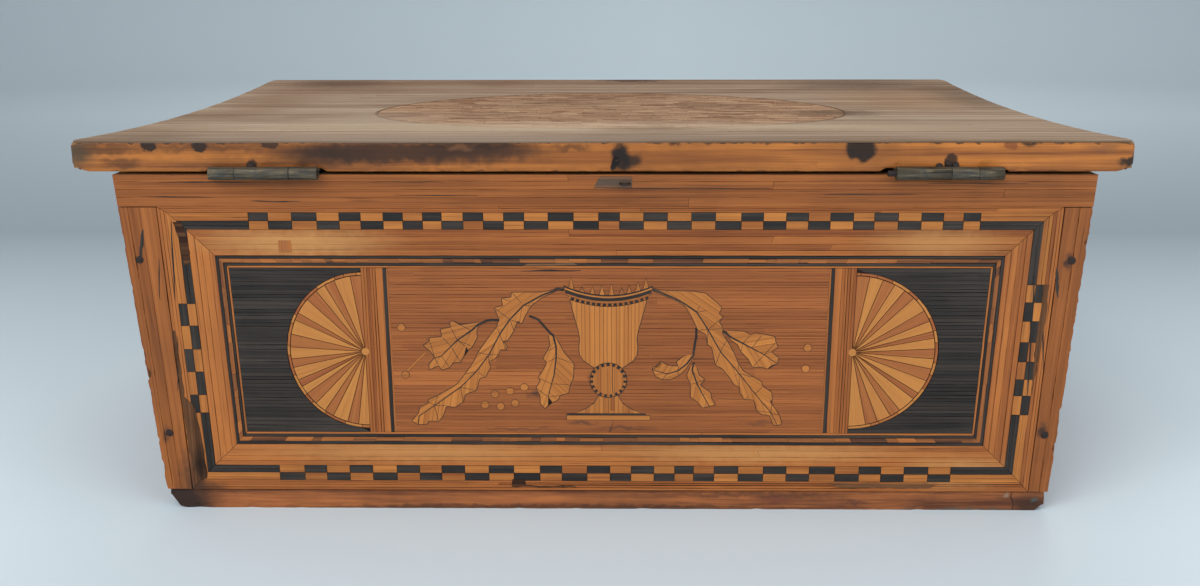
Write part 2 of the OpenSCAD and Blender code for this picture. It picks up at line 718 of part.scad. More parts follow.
module sprays_shape(face) {
    for (leaf = concat(left_leaves, right_leaves)) fitted_polygon(face, rounded(leaf));
    for (stalk = stalks) fitted_polygon(face, ribbon(stalk, stalk_w));
    for (place = berries) fitted_circle(face, place, berry_r, $fn = 16);
}
module on_panel(face) {
    translate([face[2], panel_mid_v(face)]) children();
}
module middle_panel(face, ornament) {
    veneer() difference() {
        upright_strip(face[2] - middle_half(face), face[2] + middle_half(face), face);
        if (ornament) on_panel(face) {
            urn_hole(face);
            sprays_shape(face);
        }
    }
}
module urn(face) {
    veneer() on_panel(face) urn_shape(face);
}
module oak_sprays(face) {
    veneer() on_panel(face) sprays_shape(face);
}

// Marquetry of the back
module back_edge_rails() {
    color(brown) difference() {
        long_side_trim() on_back() edge_rails(back_face);
        all_corner_nails();
        body_leaf_recesses();
        wire_loop();
    }
}
module back_straw_bands() {
    color(straw) on_back() straw_bands(back_face);
}
module back_light_checks() {
    color(pale_straw) on_back() checks(back_face, false);
}
module back_dark_checks() {
    color(ebonised) on_back() checks(back_face, true);
}
module back_stringing() {
    color(brown) on_back() stringing(back_face);
}
module back_end_panels() {
    color(ebonised) on_back() end_panels(back_face);
}
module back_fans() {
    on_back() fans(back_face);
}
module back_middle_panel() {
    color(red_brown) on_back() middle_panel(back_face, true);
}
module back_urn() {
    color(pale_straw) on_back() urn(back_face);
}
module back_oak_sprays() {
    color(pale_straw) on_back() oak_sprays(back_face);
}

// Marquetry of the front
module front_edge_rails() {
    color(brown) difference() {
        long_side_trim() on_front() edge_rails(front_face);
        all_corner_nails();
    }
}
module front_straw_bands() {
    color(straw) on_front() straw_bands(front_face);
}
module front_light_checks() {
    color(pale_straw) on_front() checks(front_face, false);
}
module front_dark_checks() {
    color(ebonised) on_front() checks(front_face, true);
}
module front_stringing() {
    color(brown) on_front() stringing(front_face);
}
module front_end_panels() {
    color(ebonised) on_front() end_panels(front_face);
}
module front_fans() {
    on_front() fans(front_face);
}
module front_middle_panel() {
    color(red_brown) on_front() middle_panel(front_face, true);
}
module front_urn() {
    color(pale_straw) on_front() urn(front_face);
}
module front_oak_sprays() {
    color(pale_straw) on_front() oak_sprays(front_face);
}

// Marquetry of the left end
module left_edge_rails() {
    color(brown) end_side_trim() on_left() edge_rails(left_face);
}
module left_straw_bands() {
    color(straw) on_left() straw_bands(left_face);
}
module left_light_checks() {
    color(pale_straw) on_left() checks(left_face, false);
}
module left_dark_checks() {
    color(ebonised) on_left() checks(left_face, true);
}
module left_stringing() {
    color(brown) on_left() stringing(left_face);
}
module left_end_panels() {
    color(ebonised) on_left() end_panels(left_face);
}
module left_fans() {
    on_left() fans(left_face);
}
module left_middle_panel() {
    color(red_brown) on_left() middle_panel(left_face, false);
}

// Marquetry of the right end
module right_edge_rails() {
    color(brown) end_side_trim() on_right() edge_rails(right_face);
}
module right_straw_bands() {
    color(straw) on_right() straw_bands(right_face);
}
module right_light_checks() {
    color(pale_straw) on_right() checks(right_face, false);
}
module right_dark_checks() {
    color(ebonised) on_right() checks(right_face, true);
}
module right_stringing() {
    color(brown) on_right() stringing(right_face);
}
module right_end_panels() {
    color(ebonised) on_right() end_panels(right_face);
}
module right_fans() {
    on_right() fans(right_face);
}
module right_middle_panel() {
    color(red_brown) on_right() middle_panel(right_face, false);
}

// The lid, swept along X from sections that follow its curves
module along_lid(x0, x1, points) {
    translate([x0, 0, 0]) rotate([90, 0, 90]) linear_extrude(x1 - x0) polygon(points);
}
module top_layer(x_in, ys, depth0, depth1) {
    along_lid(x_in - lid_w / 2, lid_w / 2 - x_in, concat(
        [for (y = ys) [y, top_z(y, depth0)]], reversed([for (y = ys) [y, top_z(y, depth1)]])
    ));
}
module lid_slice(x0, x1, ys, depth) {
    along_lid(x0, x1, concat(
        [for (y = ys) [y, under_z(y)]], reversed([for (y = ys) [y, top_z(y, depth)]])
    ));
}
module top_marquetry() {
    top_layer(veneer_t, lid_ys(veneer_t), 0, veneer_t);
}
module oval_prism(grow) {
    translate([body_x + border_shift, lid_mid_y, under_mid]) linear_extrude(2 * lid_t + lid_bow)
        polygon([for (a = [0:5:355]) [(oval_a + grow) * cos(a), (oval_b + grow) * sin(a)]]);
}
module lid_board() {
    color(pine) difference() {
        lid_slice(veneer_t - lid_w / 2, lid_w / 2 - veneer_t, lid_ys(veneer_t), veneer_t);
        lid_leaf_recesses();
        lid_leaf_nails();
        wire_stub();
    }
}
module lid_top_veneer() {
    color(lid_grey) difference() {
        top_marquetry();
        oval_prism(oval_line);
    }
}
module lid_oval_line() {
    color(ebonised) difference() {
        intersection() {
            top_marquetry();
            oval_prism(oval_line);
        }
        oval_prism(0);
    }
}
module lid_oval_inlay() {
    color(oval_brown) intersection() {
        top_marquetry();
        oval_prism(0);
    }
}
module lid_edge_strips() {
    front_edge = back_edge + lid_d;
    color(straw) difference() {
        union() {
            lid_slice(-lid_w / 2, lid_w / 2, [back_edge, back_edge + veneer_t], 0);
            lid_slice(-lid_w / 2, lid_w / 2, [front_edge - veneer_t, front_edge], 0);
            lid_slice(-lid_w / 2, veneer_t - lid_w / 2, lid_ys(veneer_t + seam), 0);
            lid_slice(lid_w / 2 - veneer_t, lid_w / 2, lid_ys(veneer_t + seam), 0);
        }
        lid_leaf_recesses();
        wire_stub();
    }
}

// Hinges. A leaf runs from the pin towards the front, beside its own knuckles only.
function hinge_l(knuckles) = knuckles[0] + knuckles[1] + knuckles[2];
function knuckle_start(knuckles, i) = (i > 0 ? knuckles[0] : 0) + (i > 1 ? knuckles[1] : 0);
module along_x(x, length, r) {
    translate([x, pin_y, pin_z]) rotate([0, 90, 0]) cylinder(h = length, r = r);
}
module hinge_leaf(x, knuckles, own, low, bore_r) {
    length = hinge_l(knuckles);
    x0 = x - length / 2;
    difference() {
        union() {
            translate([x0, back_edge, low]) cube([length, leaf_w, leaf_t]);
            for (i = own) {
                start = x0 + knuckle_start(knuckles, i) + knuckle_play / 2;
                size = knuckles[i] - knuckle_play;
                along_x(start, size, knuckle_r);
                translate([start, pin_y, low]) cube([size, pin_out + leaf_margin, leaf_t]);
            }
        }
        along_x(x0 - 1, length + 2, bore_r);
        for (i = [0:2]) if (len(search(i, own)) == 0)
            along_x(x0 + knuckle_start(knuckles, i) - knuckle_play / 2,
                knuckles[i] + knuckle_play, knuckle_r + knuckle_gap);
    }
}
module hinge_pin(x, knuckles, stand) {
    x0 = x - hinge_l(knuckles) / 2;
    along_x(x0 - stand, hinge_l(knuckles) + stand, pin_r);
}
module leaf_nails(x, knuckles, z, up, length) {
    for (place = leaf_nail_places) translate([x + place * hinge_l(knuckles), leaf_nail_y, z])
        mirror([0, 0, up]) nail(length, leaf_nail_r, leaf_nail_head_r, leaf_nail_head_t);
}
module body_leaf_nails() {
    z = body_leaf_top + leaf_nail_head_t;
    leaf_nails(left_hinge_x, left_knuckles, z, 0, body_nail_l);
    leaf_nails(right_hinge_x, right_knuckles, z, 0, body_nail_l);
}
module lid_leaf_nails() {
    z = lid_leaf_low - leaf_nail_head_t;
    leaf_nails(left_hinge_x, left_knuckles, z, 1, lid_nail_l);
    leaf_nails(right_hinge_x, right_knuckles, z, 1, lid_nail_l);
}
module leaf_recess(x, knuckles, low, high) {
    length = hinge_l(knuckles) + 2 * recess_play;
    translate([x - length / 2, back_edge - 1, low]) cube([length, leaf_w + 1 + recess_play, high - low]);
}
module body_leaf_recesses() {
    low = body_leaf_top - leaf_t;
    leaf_recess(left_hinge_x, left_knuckles, low, body_h + 1);
    leaf_recess(right_hinge_x, right_knuckles, low, body_h + 1);
}
module lid_leaf_recesses() {
    leaf_recess(left_hinge_x, left_knuckles, under_mid - 1, under_edge);
    leaf_recess(right_hinge_x, right_knuckles, under_mid - 1, under_edge);
}
module left_hinge_body_leaf() {
    color(hinge_metal) difference() {
        hinge_leaf(left_hinge_x, left_knuckles, [0, 2], body_leaf_top - leaf_t, pin_r);
        body_leaf_nails();
    }
}
module right_hinge_body_leaf() {
    color(hinge_metal) difference() {
        hinge_leaf(right_hinge_x, right_knuckles, [0, 2], body_leaf_top - leaf_t, pin_r);
        body_leaf_nails();
    }
}
module left_hinge_lid_leaf() {
    color(hinge_metal) difference() {
        hinge_leaf(left_hinge_x, left_knuckles, [1], lid_leaf_low, pin_r + running_fit);
        lid_leaf_nails();
    }
}
module right_hinge_lid_leaf() {
    color(hinge_metal) difference() {
        hinge_leaf(right_hinge_x, right_knuckles, [1], lid_leaf_low, pin_r + running_fit);
        lid_leaf_nails();
    }
}
module left_hinge_pin() {
    color(iron) hinge_pin(left_hinge_x, left_knuckles, 0);
}
module right_hinge_pin() {
    color(iron) hinge_pin(right_hinge_x, right_knuckles, pin_stand);
}
module hinge_body_nails() {
    color(iron) body_leaf_nails();
}
module hinge_lid_nails() {
    color(iron) lid_leaf_nails();
}

// Remains of a wire fastening at the back: a loop in the body and a stub in the lid's edge
module wire_loop() {
    bend_r = loop_r + wire_r;
    on_back() translate([loop_x, slope_h(back_face) - loop_drop, 0]) {
        rotate([90, 0, 0]) rotate_extrude(angle = 180) translate([bend_r, 0]) circle(r = wire_r, $fn = 24);
        for (way = [-1, 1]) translate([way * bend_r, 0, -loop_leg]) cylinder(h = loop_leg, r = wire_r);
    }
}
module wire_stub() {
    translate([body_x + stub_x, back_edge - stub_out, under_edge + stub_rise]) rotate([-90, 0, 0])
        cylinder(h = stub_leg + stub_out, r = wire_r);
}
module body_wire_loop() {
    color(iron) wire_loop();
}
module lid_wire_stub() {
    color(iron) wire_stub();
}

bottom_board();
back_wall();
front_wall();
left_wall();
right_wall();
wall_nails();
bottom_nails();
back_edge_rails();
back_straw_bands();
back_light_checks();
back_dark_checks();
back_stringing();
back_end_panels();
back_fans();
back_middle_panel();
back_urn();
back_oak_sprays();
front_edge_rails();
front_straw_bands();
front_light_checks();
front_dark_checks();
front_stringing();
front_end_panels();
front_fans();
front_middle_panel();
front_urn();
front_oak_sprays();
left_edge_rails();
left_straw_bands();
left_light_checks();
left_dark_checks();
left_stringing();
left_end_panels();
left_fans();
left_middle_panel();
right_edge_rails();
right_straw_bands();
right_light_checks();
right_dark_checks();
right_stringing();
right_end_panels();
right_fans();
right_middle_panel();
left_hinge_body_leaf();
right_hinge_body_leaf();
left_hinge_pin();
right_hinge_pin();
hinge_body_nails();
body_wire_loop();
lid_board();
lid_top_veneer();
lid_edge_strips();
lid_oval_inlay();
lid_oval_line();
left_hinge_lid_leaf();
right_hinge_lid_leaf();
hinge_lid_nails();
lid_wire_stub();
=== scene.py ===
"""Dresses a table box in straw marquetry: four leaning sides, a cupped lid and two small butts."""

import math
import random

import bmesh
import bpy
from bpy.props import FloatProperty, FloatVectorProperty, IntProperty, PointerProperty
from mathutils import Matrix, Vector, noise


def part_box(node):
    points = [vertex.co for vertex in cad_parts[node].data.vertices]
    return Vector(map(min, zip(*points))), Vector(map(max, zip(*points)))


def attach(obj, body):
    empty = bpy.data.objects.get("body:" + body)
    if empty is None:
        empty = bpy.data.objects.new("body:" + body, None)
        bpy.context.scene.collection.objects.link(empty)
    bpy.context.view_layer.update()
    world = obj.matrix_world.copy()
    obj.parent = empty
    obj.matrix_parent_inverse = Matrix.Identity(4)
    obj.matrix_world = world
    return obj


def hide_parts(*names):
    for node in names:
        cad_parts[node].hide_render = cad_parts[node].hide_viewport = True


bl_info = {
    "name": "Straw table box",
    "version": (1, 0, 0),
    "blender": (4, 5, 0),
    "location": "View3D > Sidebar > Table Box",
    "description": "Marquetry, boards, lid and butts of a table box",
    "category": "Object",
}

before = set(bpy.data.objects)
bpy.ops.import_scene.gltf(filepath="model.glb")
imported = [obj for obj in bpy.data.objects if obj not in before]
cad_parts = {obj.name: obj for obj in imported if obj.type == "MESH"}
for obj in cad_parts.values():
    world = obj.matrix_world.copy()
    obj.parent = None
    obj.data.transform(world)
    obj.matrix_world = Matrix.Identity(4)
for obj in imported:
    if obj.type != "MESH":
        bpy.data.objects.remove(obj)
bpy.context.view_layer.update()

MM = 0.001

# Widths of the borders in millimetres, from the edge of a side to its panel:
# rail or strip, fine lines, outer checks, inner checks, straw band, stringing
TOP_WIDTHS = (11.8, 2.1, 3.2, 3.2, 9.8, 4.7)
BOTTOM_WIDTHS = (0, 4, 3.2, 3.2, 8.7, 5.2)
END_WIDTHS = (10.9, 3.5, 3.2, 3.2, 9.3, 4.7)
# Lines of the stringing in millimetres from its outer edge: from, to, kind
STRINGING = ((0.05, 1.1, "black"), (1.2, 2.75, "mosaic"), (2.85, 3.8, "black"), (3.9, 4.6, "light"))
CHECK_W = 3.2
CORNER_L = 28
CHECK_LENGTHS = {"top": 8, "bottom": 8.9, "left": 7.9, "right": 7.9}
# The uneven checks of the back: where each run begins, and their lengths
BACK_CHECKS = {
    "top": (-128.6, (7.1, 8.6, 9.1, 8.2, 7.8, 8.2, 7.1, 7.2, 6.9, 7.8, 7.3, 7.4, 7.4, 8.7, 9.2, 9.1,
                     7.6, 8.7, 8.6, 8.7, 8.7, 9.3, 8, 8.2, 8, 7.9, 8.3, 7.5, 8.6, 8.3, 7.9, 7.2, 6.1)),
    "bottom": (-124.9, (9.7, 8.6, 8.9, 8.9, 9.3, 8.8, 8.5, 8.9, 9.3, 9.6, 10.1, 8.4, 9.7, 8.8, 8.1, 8.8,
                        7.9, 7.3, 7.9, 9.2, 9.6, 8.8, 8.8, 9.9, 9.2, 8.4, 8.8, 9.2, 8.6)),
    "left": (40, (7.3, 9.3, 9, 9.3, 8.6)),
    "right": (39.9, (7.7, 6.6, 7, 7.7, 8.2, 7.3, 6.8)),
}
BORDER_LEAN = math.radians(1.2)
VENEER = 0.8
# How far splints and tiles reach below their face, and how deep the thin ones do
SINK = VENEER - 0.05
SHALLOW = 0.3
MITRE_GAP = 0.12
STRIP_PITCH = 4.6
TEAR_STEP = 1.6
TOP_PLAY = 0.07

# The panel: reach and ground of a fan, clearance over it, hub, and the upright band beside it
FAN_REACH = 29.5
RIGHT_FAN_REACH = 32
FAN_GROUND = 18.3
FAN_GAP = 1.5
FAN_HUB = 1.5
FAN_BAND = 10
FAN_BAND_BLACK = 1.3
FAN_BAND_LIGHT = 0.7
# Where the rays end and the thin rim begins, as a share of the reach
FAN_RIM = 0.955
# Width and tones of the strips of the upright band, from the fan inwards
FAN_STRIPS = ((1.1, (0.3, 0.5)), (1, (0.55, 0.75)), (1.2, (0.25, 0.45)), (1, (0.5, 0.7)),
              (1.1, (0.3, 0.5)), (2.6, (0.75, 0.9)))


def srgb(red, green, blue):
    """Linear colour of a screen colour given from 0 to 255."""
    return tuple(((c / 255 + 0.055) / 1.055) ** 2.4 if c > 10 else c / 255 / 12.92
                 for c in (red, green, blue))


def mix(a, b, share):
    """Point between two points or numbers."""
    if isinstance(a, (int, float)):
        return a + (b - a) * share
    return tuple(x + (y - x) * share for x, y in zip(a, b))


def unit(x, y):
    """Way of a step, one long."""
    size = math.hypot(x, y) or 1
    return (x / size, y / size)


def circle(centre, radius, count, closed=False):
    """Points round a circle, the first once more at the end if it is closed."""
    turns = [2 * math.pi * i / count for i in range(count + closed)]
    return [(centre[0] + radius * math.cos(a), centre[1] + radius * math.sin(a)) for a in turns]


def seed_of(*words):
    """Fixed seed from the words that name a piece."""
    return sum((i + 1) * ord(c) for i, c in enumerate("".join(words)))


def length(name, description, default):
    """Property of a length in metres."""
    return FloatProperty(name=name, description=description, default=default, unit="LENGTH")


def tint(name, description, *screen):
    """Property of a colour, given from 0 to 255."""
    return FloatVectorProperty(name=name, description=description, default=srgb(*screen),
                               subtype="COLOR", min=0, max=1)


class BoxSizes(bpy.types.PropertyGroup):
    """Sizes of the straw and of its workmanship."""

    rail_splint: length("Rail splint", "Width of the splints in the rails and strips", 0.0029)
    band_splint: length("Band splint", "Width of the splints in the straw bands", 0.0032)
    ground_splint: length("Ground splint", "Width of the splints of the middle panel", 0.00135)
    panel_splint: length("Ebonised splint", "Width of the splints round the fans", 0.0014)
    lid_splint: length("Lid splint", "Width of the splints on the lid", 0.0042)
    gap: length("Gap", "Open joint between splints", 0.00012)
    wobble: length("Wobble", "How far a splint's edge strays", 0.00006)
    chamfer: length("Rounding", "Rounding of a splint's edges", 0.00008)
    segment: length("Segment", "Length of a splint between two bends", 0.007)
    fan_rays: IntProperty(name="Fan rays", description="Rays of a fan", default=20, min=8, max=40)


class BoxColours(bpy.types.PropertyGroup):
    """Colours of the straw, boards and metal."""

    rail_light: tint("Rail, light", "Light streaks of the rails", 178, 105, 50)
    rail_dark: tint("Rail, dark", "Dark streaks of the rails", 120, 64, 27)
    straw_light: tint("Straw, light", "Light streaks of the bands", 188, 112, 53)
    straw_dark: tint("Straw, dark", "Dark streaks of the bands", 122, 61, 27)
    pale_light: tint("Pale straw, light", "Light streaks of the ornament", 202, 127, 59)
    pale_dark: tint("Pale straw, dark", "Dark streaks of the ornament", 149, 83, 37)
    fan_light: tint("Fan, light", "Light rays of the fans", 199, 131, 64)
    fan_dark: tint("Fan, dark", "Brown rays of the fans", 154, 83, 44)
    ground_light: tint("Ground, light", "Light splints of the middle panel", 182, 107, 54)
    ground_dark: tint("Ground, dark", "Dark splints of the middle panel", 116, 60, 31)
    ebony_light: tint("Ebonised, rubbed", "Rubbed streaks of the ebonised splints", 76, 65, 57)
    ebony_dark: tint("Ebonised", "Ebonised splints", 34, 29, 27)
    soil: tint("Soil", "Dirt in the joints", 46, 28, 18)
    pine_light: tint("Board, light", "Light grain of the boards", 186, 140, 92)
    pine_dark: tint("Board, dark", "Dark grain of the boards", 120, 78, 46)
    base_light: tint("Base, light", "Light grain of the bottom board's edge", 181, 107, 58)
    base_dark: tint("Base, dark", "Dark grain of the bottom board's edge", 99, 54, 32)
    lid_light: tint("Lid, light", "Bleached streaks of the lid", 185, 164, 141)
    lid_dark: tint("Lid, dark", "Dark streaks of the lid", 124, 96, 73)
    oval_light: tint("Oval, light", "Light pieces of the oval", 187, 151, 118)
    oval_dark: tint("Oval, dark", "Dark pieces of the oval", 121, 81, 56)
    edge_light: tint("Lid edge, light", "Light grain of the lid's edges", 200, 122, 54)
    edge_dark: tint("Lid edge, dark", "Dark grain of the lid's edges", 119, 65, 33)
    metal: tint("Butts", "Metal of the butts under its patina", 106, 93, 73)
    patina: tint("Patina", "Grey-green patina of the butts", 69, 65, 57)
    rust: tint("Rust", "Rust of the nails and wires", 40, 30, 28)
    floor: tint("Floor", "Colour of the floor", 217, 230, 238)
    # Painted light of the floor and backdrop: darker behind the box and far off at the sides as painted
    # shade, lighter far off in the middle as painted light.
    behind: tint("Floor behind", "Colour of the floor behind the box", 146, 157, 164)
    backdrop: tint("Backdrop", "Colour far off at the sides", 170, 181, 188)
    backdrop_middle: tint("Backdrop, middle", "Colour far off in the middle", 195, 206, 212)


def size_of(name):
    """A size of the panel in the sidebar, in millimetres."""
    return getattr(bpy.context.scene.box_sizes, name) / MM


def shade(colour):
    """Colour for a shader, given as numbers or as the name of a colour of the sidebar's panel."""
    if isinstance(colour, str):
        colour = getattr(bpy.context.scene.box_colours, colour)
    return (*colour[:3], 1.0)


class Side:
    """One leaning side of the body, in millimetres: u across, v up the slope from the floor, h outwards."""

    def __init__(self, name, outward, shift):
        self.name, self.shift = name, shift
        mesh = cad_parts[name + "_edge_rails"].data
        outer = [p for p in mesh.polygons if p.normal.dot(outward) > 0.9]
        self.normal = sum((p.normal * p.area for p in outer), Vector()).normalized()
        self.across = Vector((0, 0, 1)).cross(self.normal).normalized()
        self.up = self.normal.cross(self.across)
        low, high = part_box(name + "_edge_rails")
        plane = max(v.co.dot(self.normal) for v in mesh.vertices)
        base = self.across * self.across.dot((low + high) / 2)
        level = Vector((self.normal.x, self.normal.y, 0))
        self.origin = base + level * ((plane - base.dot(self.normal)) / level.dot(self.normal))
        flat = [((v.co - self.origin).dot(self.across) / MM, (v.co - self.origin).dot(self.up) / MM)
                for v in mesh.vertices if abs(v.co.dot(self.normal) - plane) < 1e-5]
        self.top, self.low = max(v for _, v in flat), min(v for _, v in flat)
        near = 0.01
        rows = ([u for u, v in flat if v < self.low + near], [u for u, v in flat if v > self.top - near])
        self.ends = {-1: [min(row) for row in rows], 1: [max(row) for row in rows]}
        self.half = (sum(self.ends[1]) - sum(self.ends[-1])) / 4
        self.fan_u = self.half - inset_at(END_WIDTHS, 6) - FAN_REACH - FAN_GROUND
        self.middle_half = self.fan_u - FAN_BAND
        self.panel_low, self.panel_high = self.line_v(6, -1), self.line_v(6, 1)
        self.panel_mid = (self.panel_high + self.panel_low) / 2
        self.panel_half = (self.panel_high - self.panel_low) / 2

    def point(self, u, v, h=0):
        return self.origin + (self.across * u + self.up * v + self.normal * h) * MM

    def edge(self, way, v):
        """Place of the side's left or right corner at height v."""
        return mix(*self.ends[way], (v - self.low) / (self.top - self.low))

    def line_v(self, k, up):
        return self.top - inset_at(TOP_WIDTHS, k) if up > 0 else self.low + inset_at(BOTTOM_WIDTHS, k)

    def line_u(self, k, way, v):
        slant = (v - self.top / 2) * math.tan(BORDER_LEAN)
        return self.shift + way * (self.half - inset_at(END_WIDTHS, k) + slant)

    def corner(self, k, way, up):
        v = self.line_v(k, up)
        return (self.line_u(k, way, v), v)

    def runs(self, k0, k1):
        """The four mitred lengths between two border lines, each by its outer and its inner edge."""
        pairs = [((-1, up), (1, up)) for up in (1, -1)] + [((way, -1), (way, 1)) for way in (-1, 1)]
        return [[self.corner(k, *end) for k in (k0, k1) for end in pair] for pair in pairs]

    def upright(self, way, *reaches):
        """Long edges of an upright strip of the panel, from two distances from its middle."""
        return [(self.shift + way * reach, v) for reach in reaches for v in (self.panel_low, self.panel_high)]

    def fan_reach(self, way):
        return RIGHT_FAN_REACH if self.name == "back" and way > 0 else FAN_REACH

    def fan_edge(self, way, v):
        """Reach of a fan from its flat side at height v."""
        rise = abs(v - self.panel_mid) / (self.panel_half - FAN_GAP)
        return self.fan_reach(way) * math.sqrt(max(0, 1 - rise * rise))


def inset_at(widths, k):
    """Sum of the first k widths, where k may lie between two of them."""
    whole = int(k)
    return sum(widths[:whole]) + (widths[whole] * (k - whole) if k > whole else 0)


class LidTop:
    """The hollow top of the lid, in millimetres: u along X, v along Y, h upwards."""

    def __init__(self):
        low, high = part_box("lid_edge_strips")
        self.x0, self.x1 = low.x / MM, high.x / MM
        self.y0, self.y1 = low.y / MM, high.y / MM
        self.mid = (self.y0 + self.y1) / 2
        self.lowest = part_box("lid_top_veneer")[0].z / MM + VENEER - TOP_PLAY
        self.cup = high.z / MM - TOP_PLAY - self.lowest

    def height(self, v):
        return self.lowest + self.cup * ((v - self.mid) / (self.y1 - self.mid)) ** 2

    def point(self, u, v, h=0):
        return Vector((u, v, self.height(v) + h)) * MM


SIDES = [Side(name, Vector(outward), shift) for name, outward, shift in (
    ("back", (0, -1, 0), 2), ("front", (0, 1, 0), 0), ("left", (-1, 0, 0), 0), ("right", (1, 0, 0), 0))]
BACK = SIDES[0]
LID_TOP = LidTop()


class Inlay:
    """Splints and tiles of one piece, gathered as closed solids on a surface."""

    def __init__(self, surface, seed):
        self.surface, self.random = surface, random.Random(seed)
        self.gap, self.wobble = size_of("gap"), size_of("wobble")
        self.chamfer, self.segment = size_of("chamfer"), size_of("segment")
        self.dirt = (0.1, 0.15, 0.25, 0.4, 0.7, 1)
        self.points, self.faces, self.grain, self.tone, self.soil = [], [], [], [], []

    def add(self, points, faces, grain, tone, soil):
        start = len(self.points)
        self.points += [self.surface.point(*p) for p in points]
        self.faces += [tuple(start + i for i in face) for face in faces]
        self.grain += grain
        self.tone += [tone] * len(points)
        self.soil += soil

    def splint(self, a0, a1, b0, b1, tone, lift=0.0, wobble=1.0, torn=0.0):
        """One straw splint between the long edges a0-a1 and b0-b1."""
        rand = self.random
        length = math.dist(a0, a1)
        steps = max(1, round(length / (TEAR_STEP if torn else self.segment)))
        shift = (rand.uniform(0, 1), rand.uniform(0, 1))
        points, grain, soil = [], [], []
        rise = rand.uniform(-0.03, 0.03)
        gap = self.gap * rand.choice((0.2, 0.3, 0.4, 0.7, 1.8))
        dirty = [rand.choice(self.dirt) for _ in range(2)]
        least = 0.02
        for i in range(steps + 1):
            share = i / steps
            a, b = mix(a0, a1, share), mix(b0, b1, share)
            width = math.dist(a, b)
            if width < least:
                b, width = (a[0] + least, a[1]), least
            way = ((b[0] - a[0]) / width, (b[1] - a[1]) / width)
            stray = [min(self.wobble * wobble, width / 5) * rand.uniform(-1, 1) for _ in range(2)]
            low, high = gap / 2 + stray[0], width - gap / 2 + stray[1]
            if torn:
                low += min(width / 2, torn * max(0.0, 4 * wear((*a, 0), 5, 2) - 2.1))
            chamfer = min(self.chamfer, (high - low) / 3)
            top = lift + rise + rand.uniform(-0.015, 0.015)
            for place, height, dirt in (
                (low, -SINK, 1), (low, top - chamfer, dirty[0]), (low + chamfer, top, 0),
                (high - chamfer, top, 0), (high, top - chamfer, dirty[1]), (high, -SINK, 1),
            ):
                points.append((a[0] + way[0] * place, a[1] + way[1] * place, height))
                grain.append((share * length * MM + shift[0], place * MM + shift[1]))
                soil.append(dirt)
        faces = [(i * 6 + j, (i + 1) * 6 + j, (i + 1) * 6 + (j + 1) % 6, i * 6 + (j + 1) % 6)
                 for i in range(steps) for j in range(6)]
        faces += [tuple(range(6)), tuple(steps * 6 + j for j in reversed(range(6)))]
        turn = (a1[0] - a0[0]) * (b0[1] - a0[1]) - (a1[1] - a0[1]) * (b0[0] - a0[0])
        if turn <= 0:
            faces = [tuple(reversed(face)) for face in faces]
        self.add(points, faces, grain, tone, soil)

    def fill(self, a0, a1, b0, b1, pitch, tones, run=400.0, trim=None, wobble=1.0, torn=0.0):
        """Rows of splints from edge a0-a1 to edge b0-b1, with butt joints about every run."""
        rand = self.random
        cuts = [0.0]
        for _ in range(max(1, round((math.dist(a0, b0) + math.dist(a1, b1)) / 2 / pitch))):
            cuts.append(cuts[-1] + rand.uniform(0.75, 1.25))
        cuts = [c / cuts[-1] for c in cuts]
        length = math.dist(a0, a1)
        for f0, f1 in zip(cuts, cuts[1:]):
            mitre = MITRE_GAP / length
            ends = (trim(f0), trim(f1)) if trim else ((mitre, 1 - mitre),) * 2
            joints = [0.0]
            while joints[-1] < 1:
                joints.append(joints[-1] + rand.uniform(0.5, 1.5) * run / length)
            if len(joints) > 2 and 1 - joints[-2] < 0.04:
                joints.pop(-2)
            joints[-1] = 1.0
            for s0, s1 in zip(joints, joints[1:]):
                tone = rand.uniform(*tones)
                (low0, high0), (low1, high1) = ([mix(*end, s) for end in ends] for s in (s0, s1))
                if s0 > 0:
                    low0, high0 = low0 + MITRE_GAP / length, high0 + MITRE_GAP / length
                edges = [mix(mix(a0, a1, s), mix(b0, b1, s), f)
                         for s, f in ((low0, f0), (low1, f0), (high0, f1), (high1, f1))]
                self.splint(*edges, tone, wobble=wobble, torn=torn if f0 == 0 else 0)

    def tile(self, loop, tone, angle=0.0, lift=0.0, depth=SINK, gap=None, chamfer=None):
        """One cut piece with the given outline, whose grain runs at an angle."""
        rand = self.random
        loop = tidy_loop(loop)
        most = 0.5 * thickness_of(loop)
        gap = min(most, self.gap if gap is None else gap)
        drop = min(most, self.chamfer if chamfer is None else chamfer)
        outer = shrunk(loop, gap / 2)
        inner = shrunk(outer, drop)
        count = len(loop)
        shift = (rand.uniform(0, 1), rand.uniform(0, 1))
        c, s = math.cos(angle), math.sin(angle)
        points, grain, soil = [], [], []
        top = lift + rand.uniform(-0.02, 0.02)
        for ring, height, dirt in ((outer, -depth, 1), (outer, top - drop, 1), (inner, top, 0)):
            for u, v in ring:
                points.append((u, v, height))
                grain.append(((u * c + v * s) * MM + shift[0], (v * c - u * s) * MM + shift[1]))
                soil.append(dirt)
        faces = [tuple(range(2 * count, 3 * count)), tuple(reversed(range(count)))]
        faces += [(ring + i, ring + (i + 1) % count, ring + count + (i + 1) % count, ring + count + i)
                  for ring in (0, count) for i in range(count)]
        self.add(points, faces, grain, tone, soil)

    def splinted(self, loop, angle, pitch, tones, lift):
        """A shape cut from splints that lie side by side at an angle."""
        for part in cut_across(loop, angle, pitch, self.random):
            self.tile(part, self.random.uniform(*tones), angle, lift, gap=0.05, chamfer=0.07)

    def piece(self, name, body, material, slot, *nodes):
        """Makes the mesh of all that was added."""
        make_piece(name, self.points, self.faces, body, material, slot, nodes,
                   grain=self.grain, tone=self.tone, soil=self.soil)

    def side_piece(self, name, material, slot, node):
        """Makes the mesh on a side, in place of that side's own node."""
        side = self.surface.name + "_"
        self.piece(side + name, "body", material, slot, side + node)


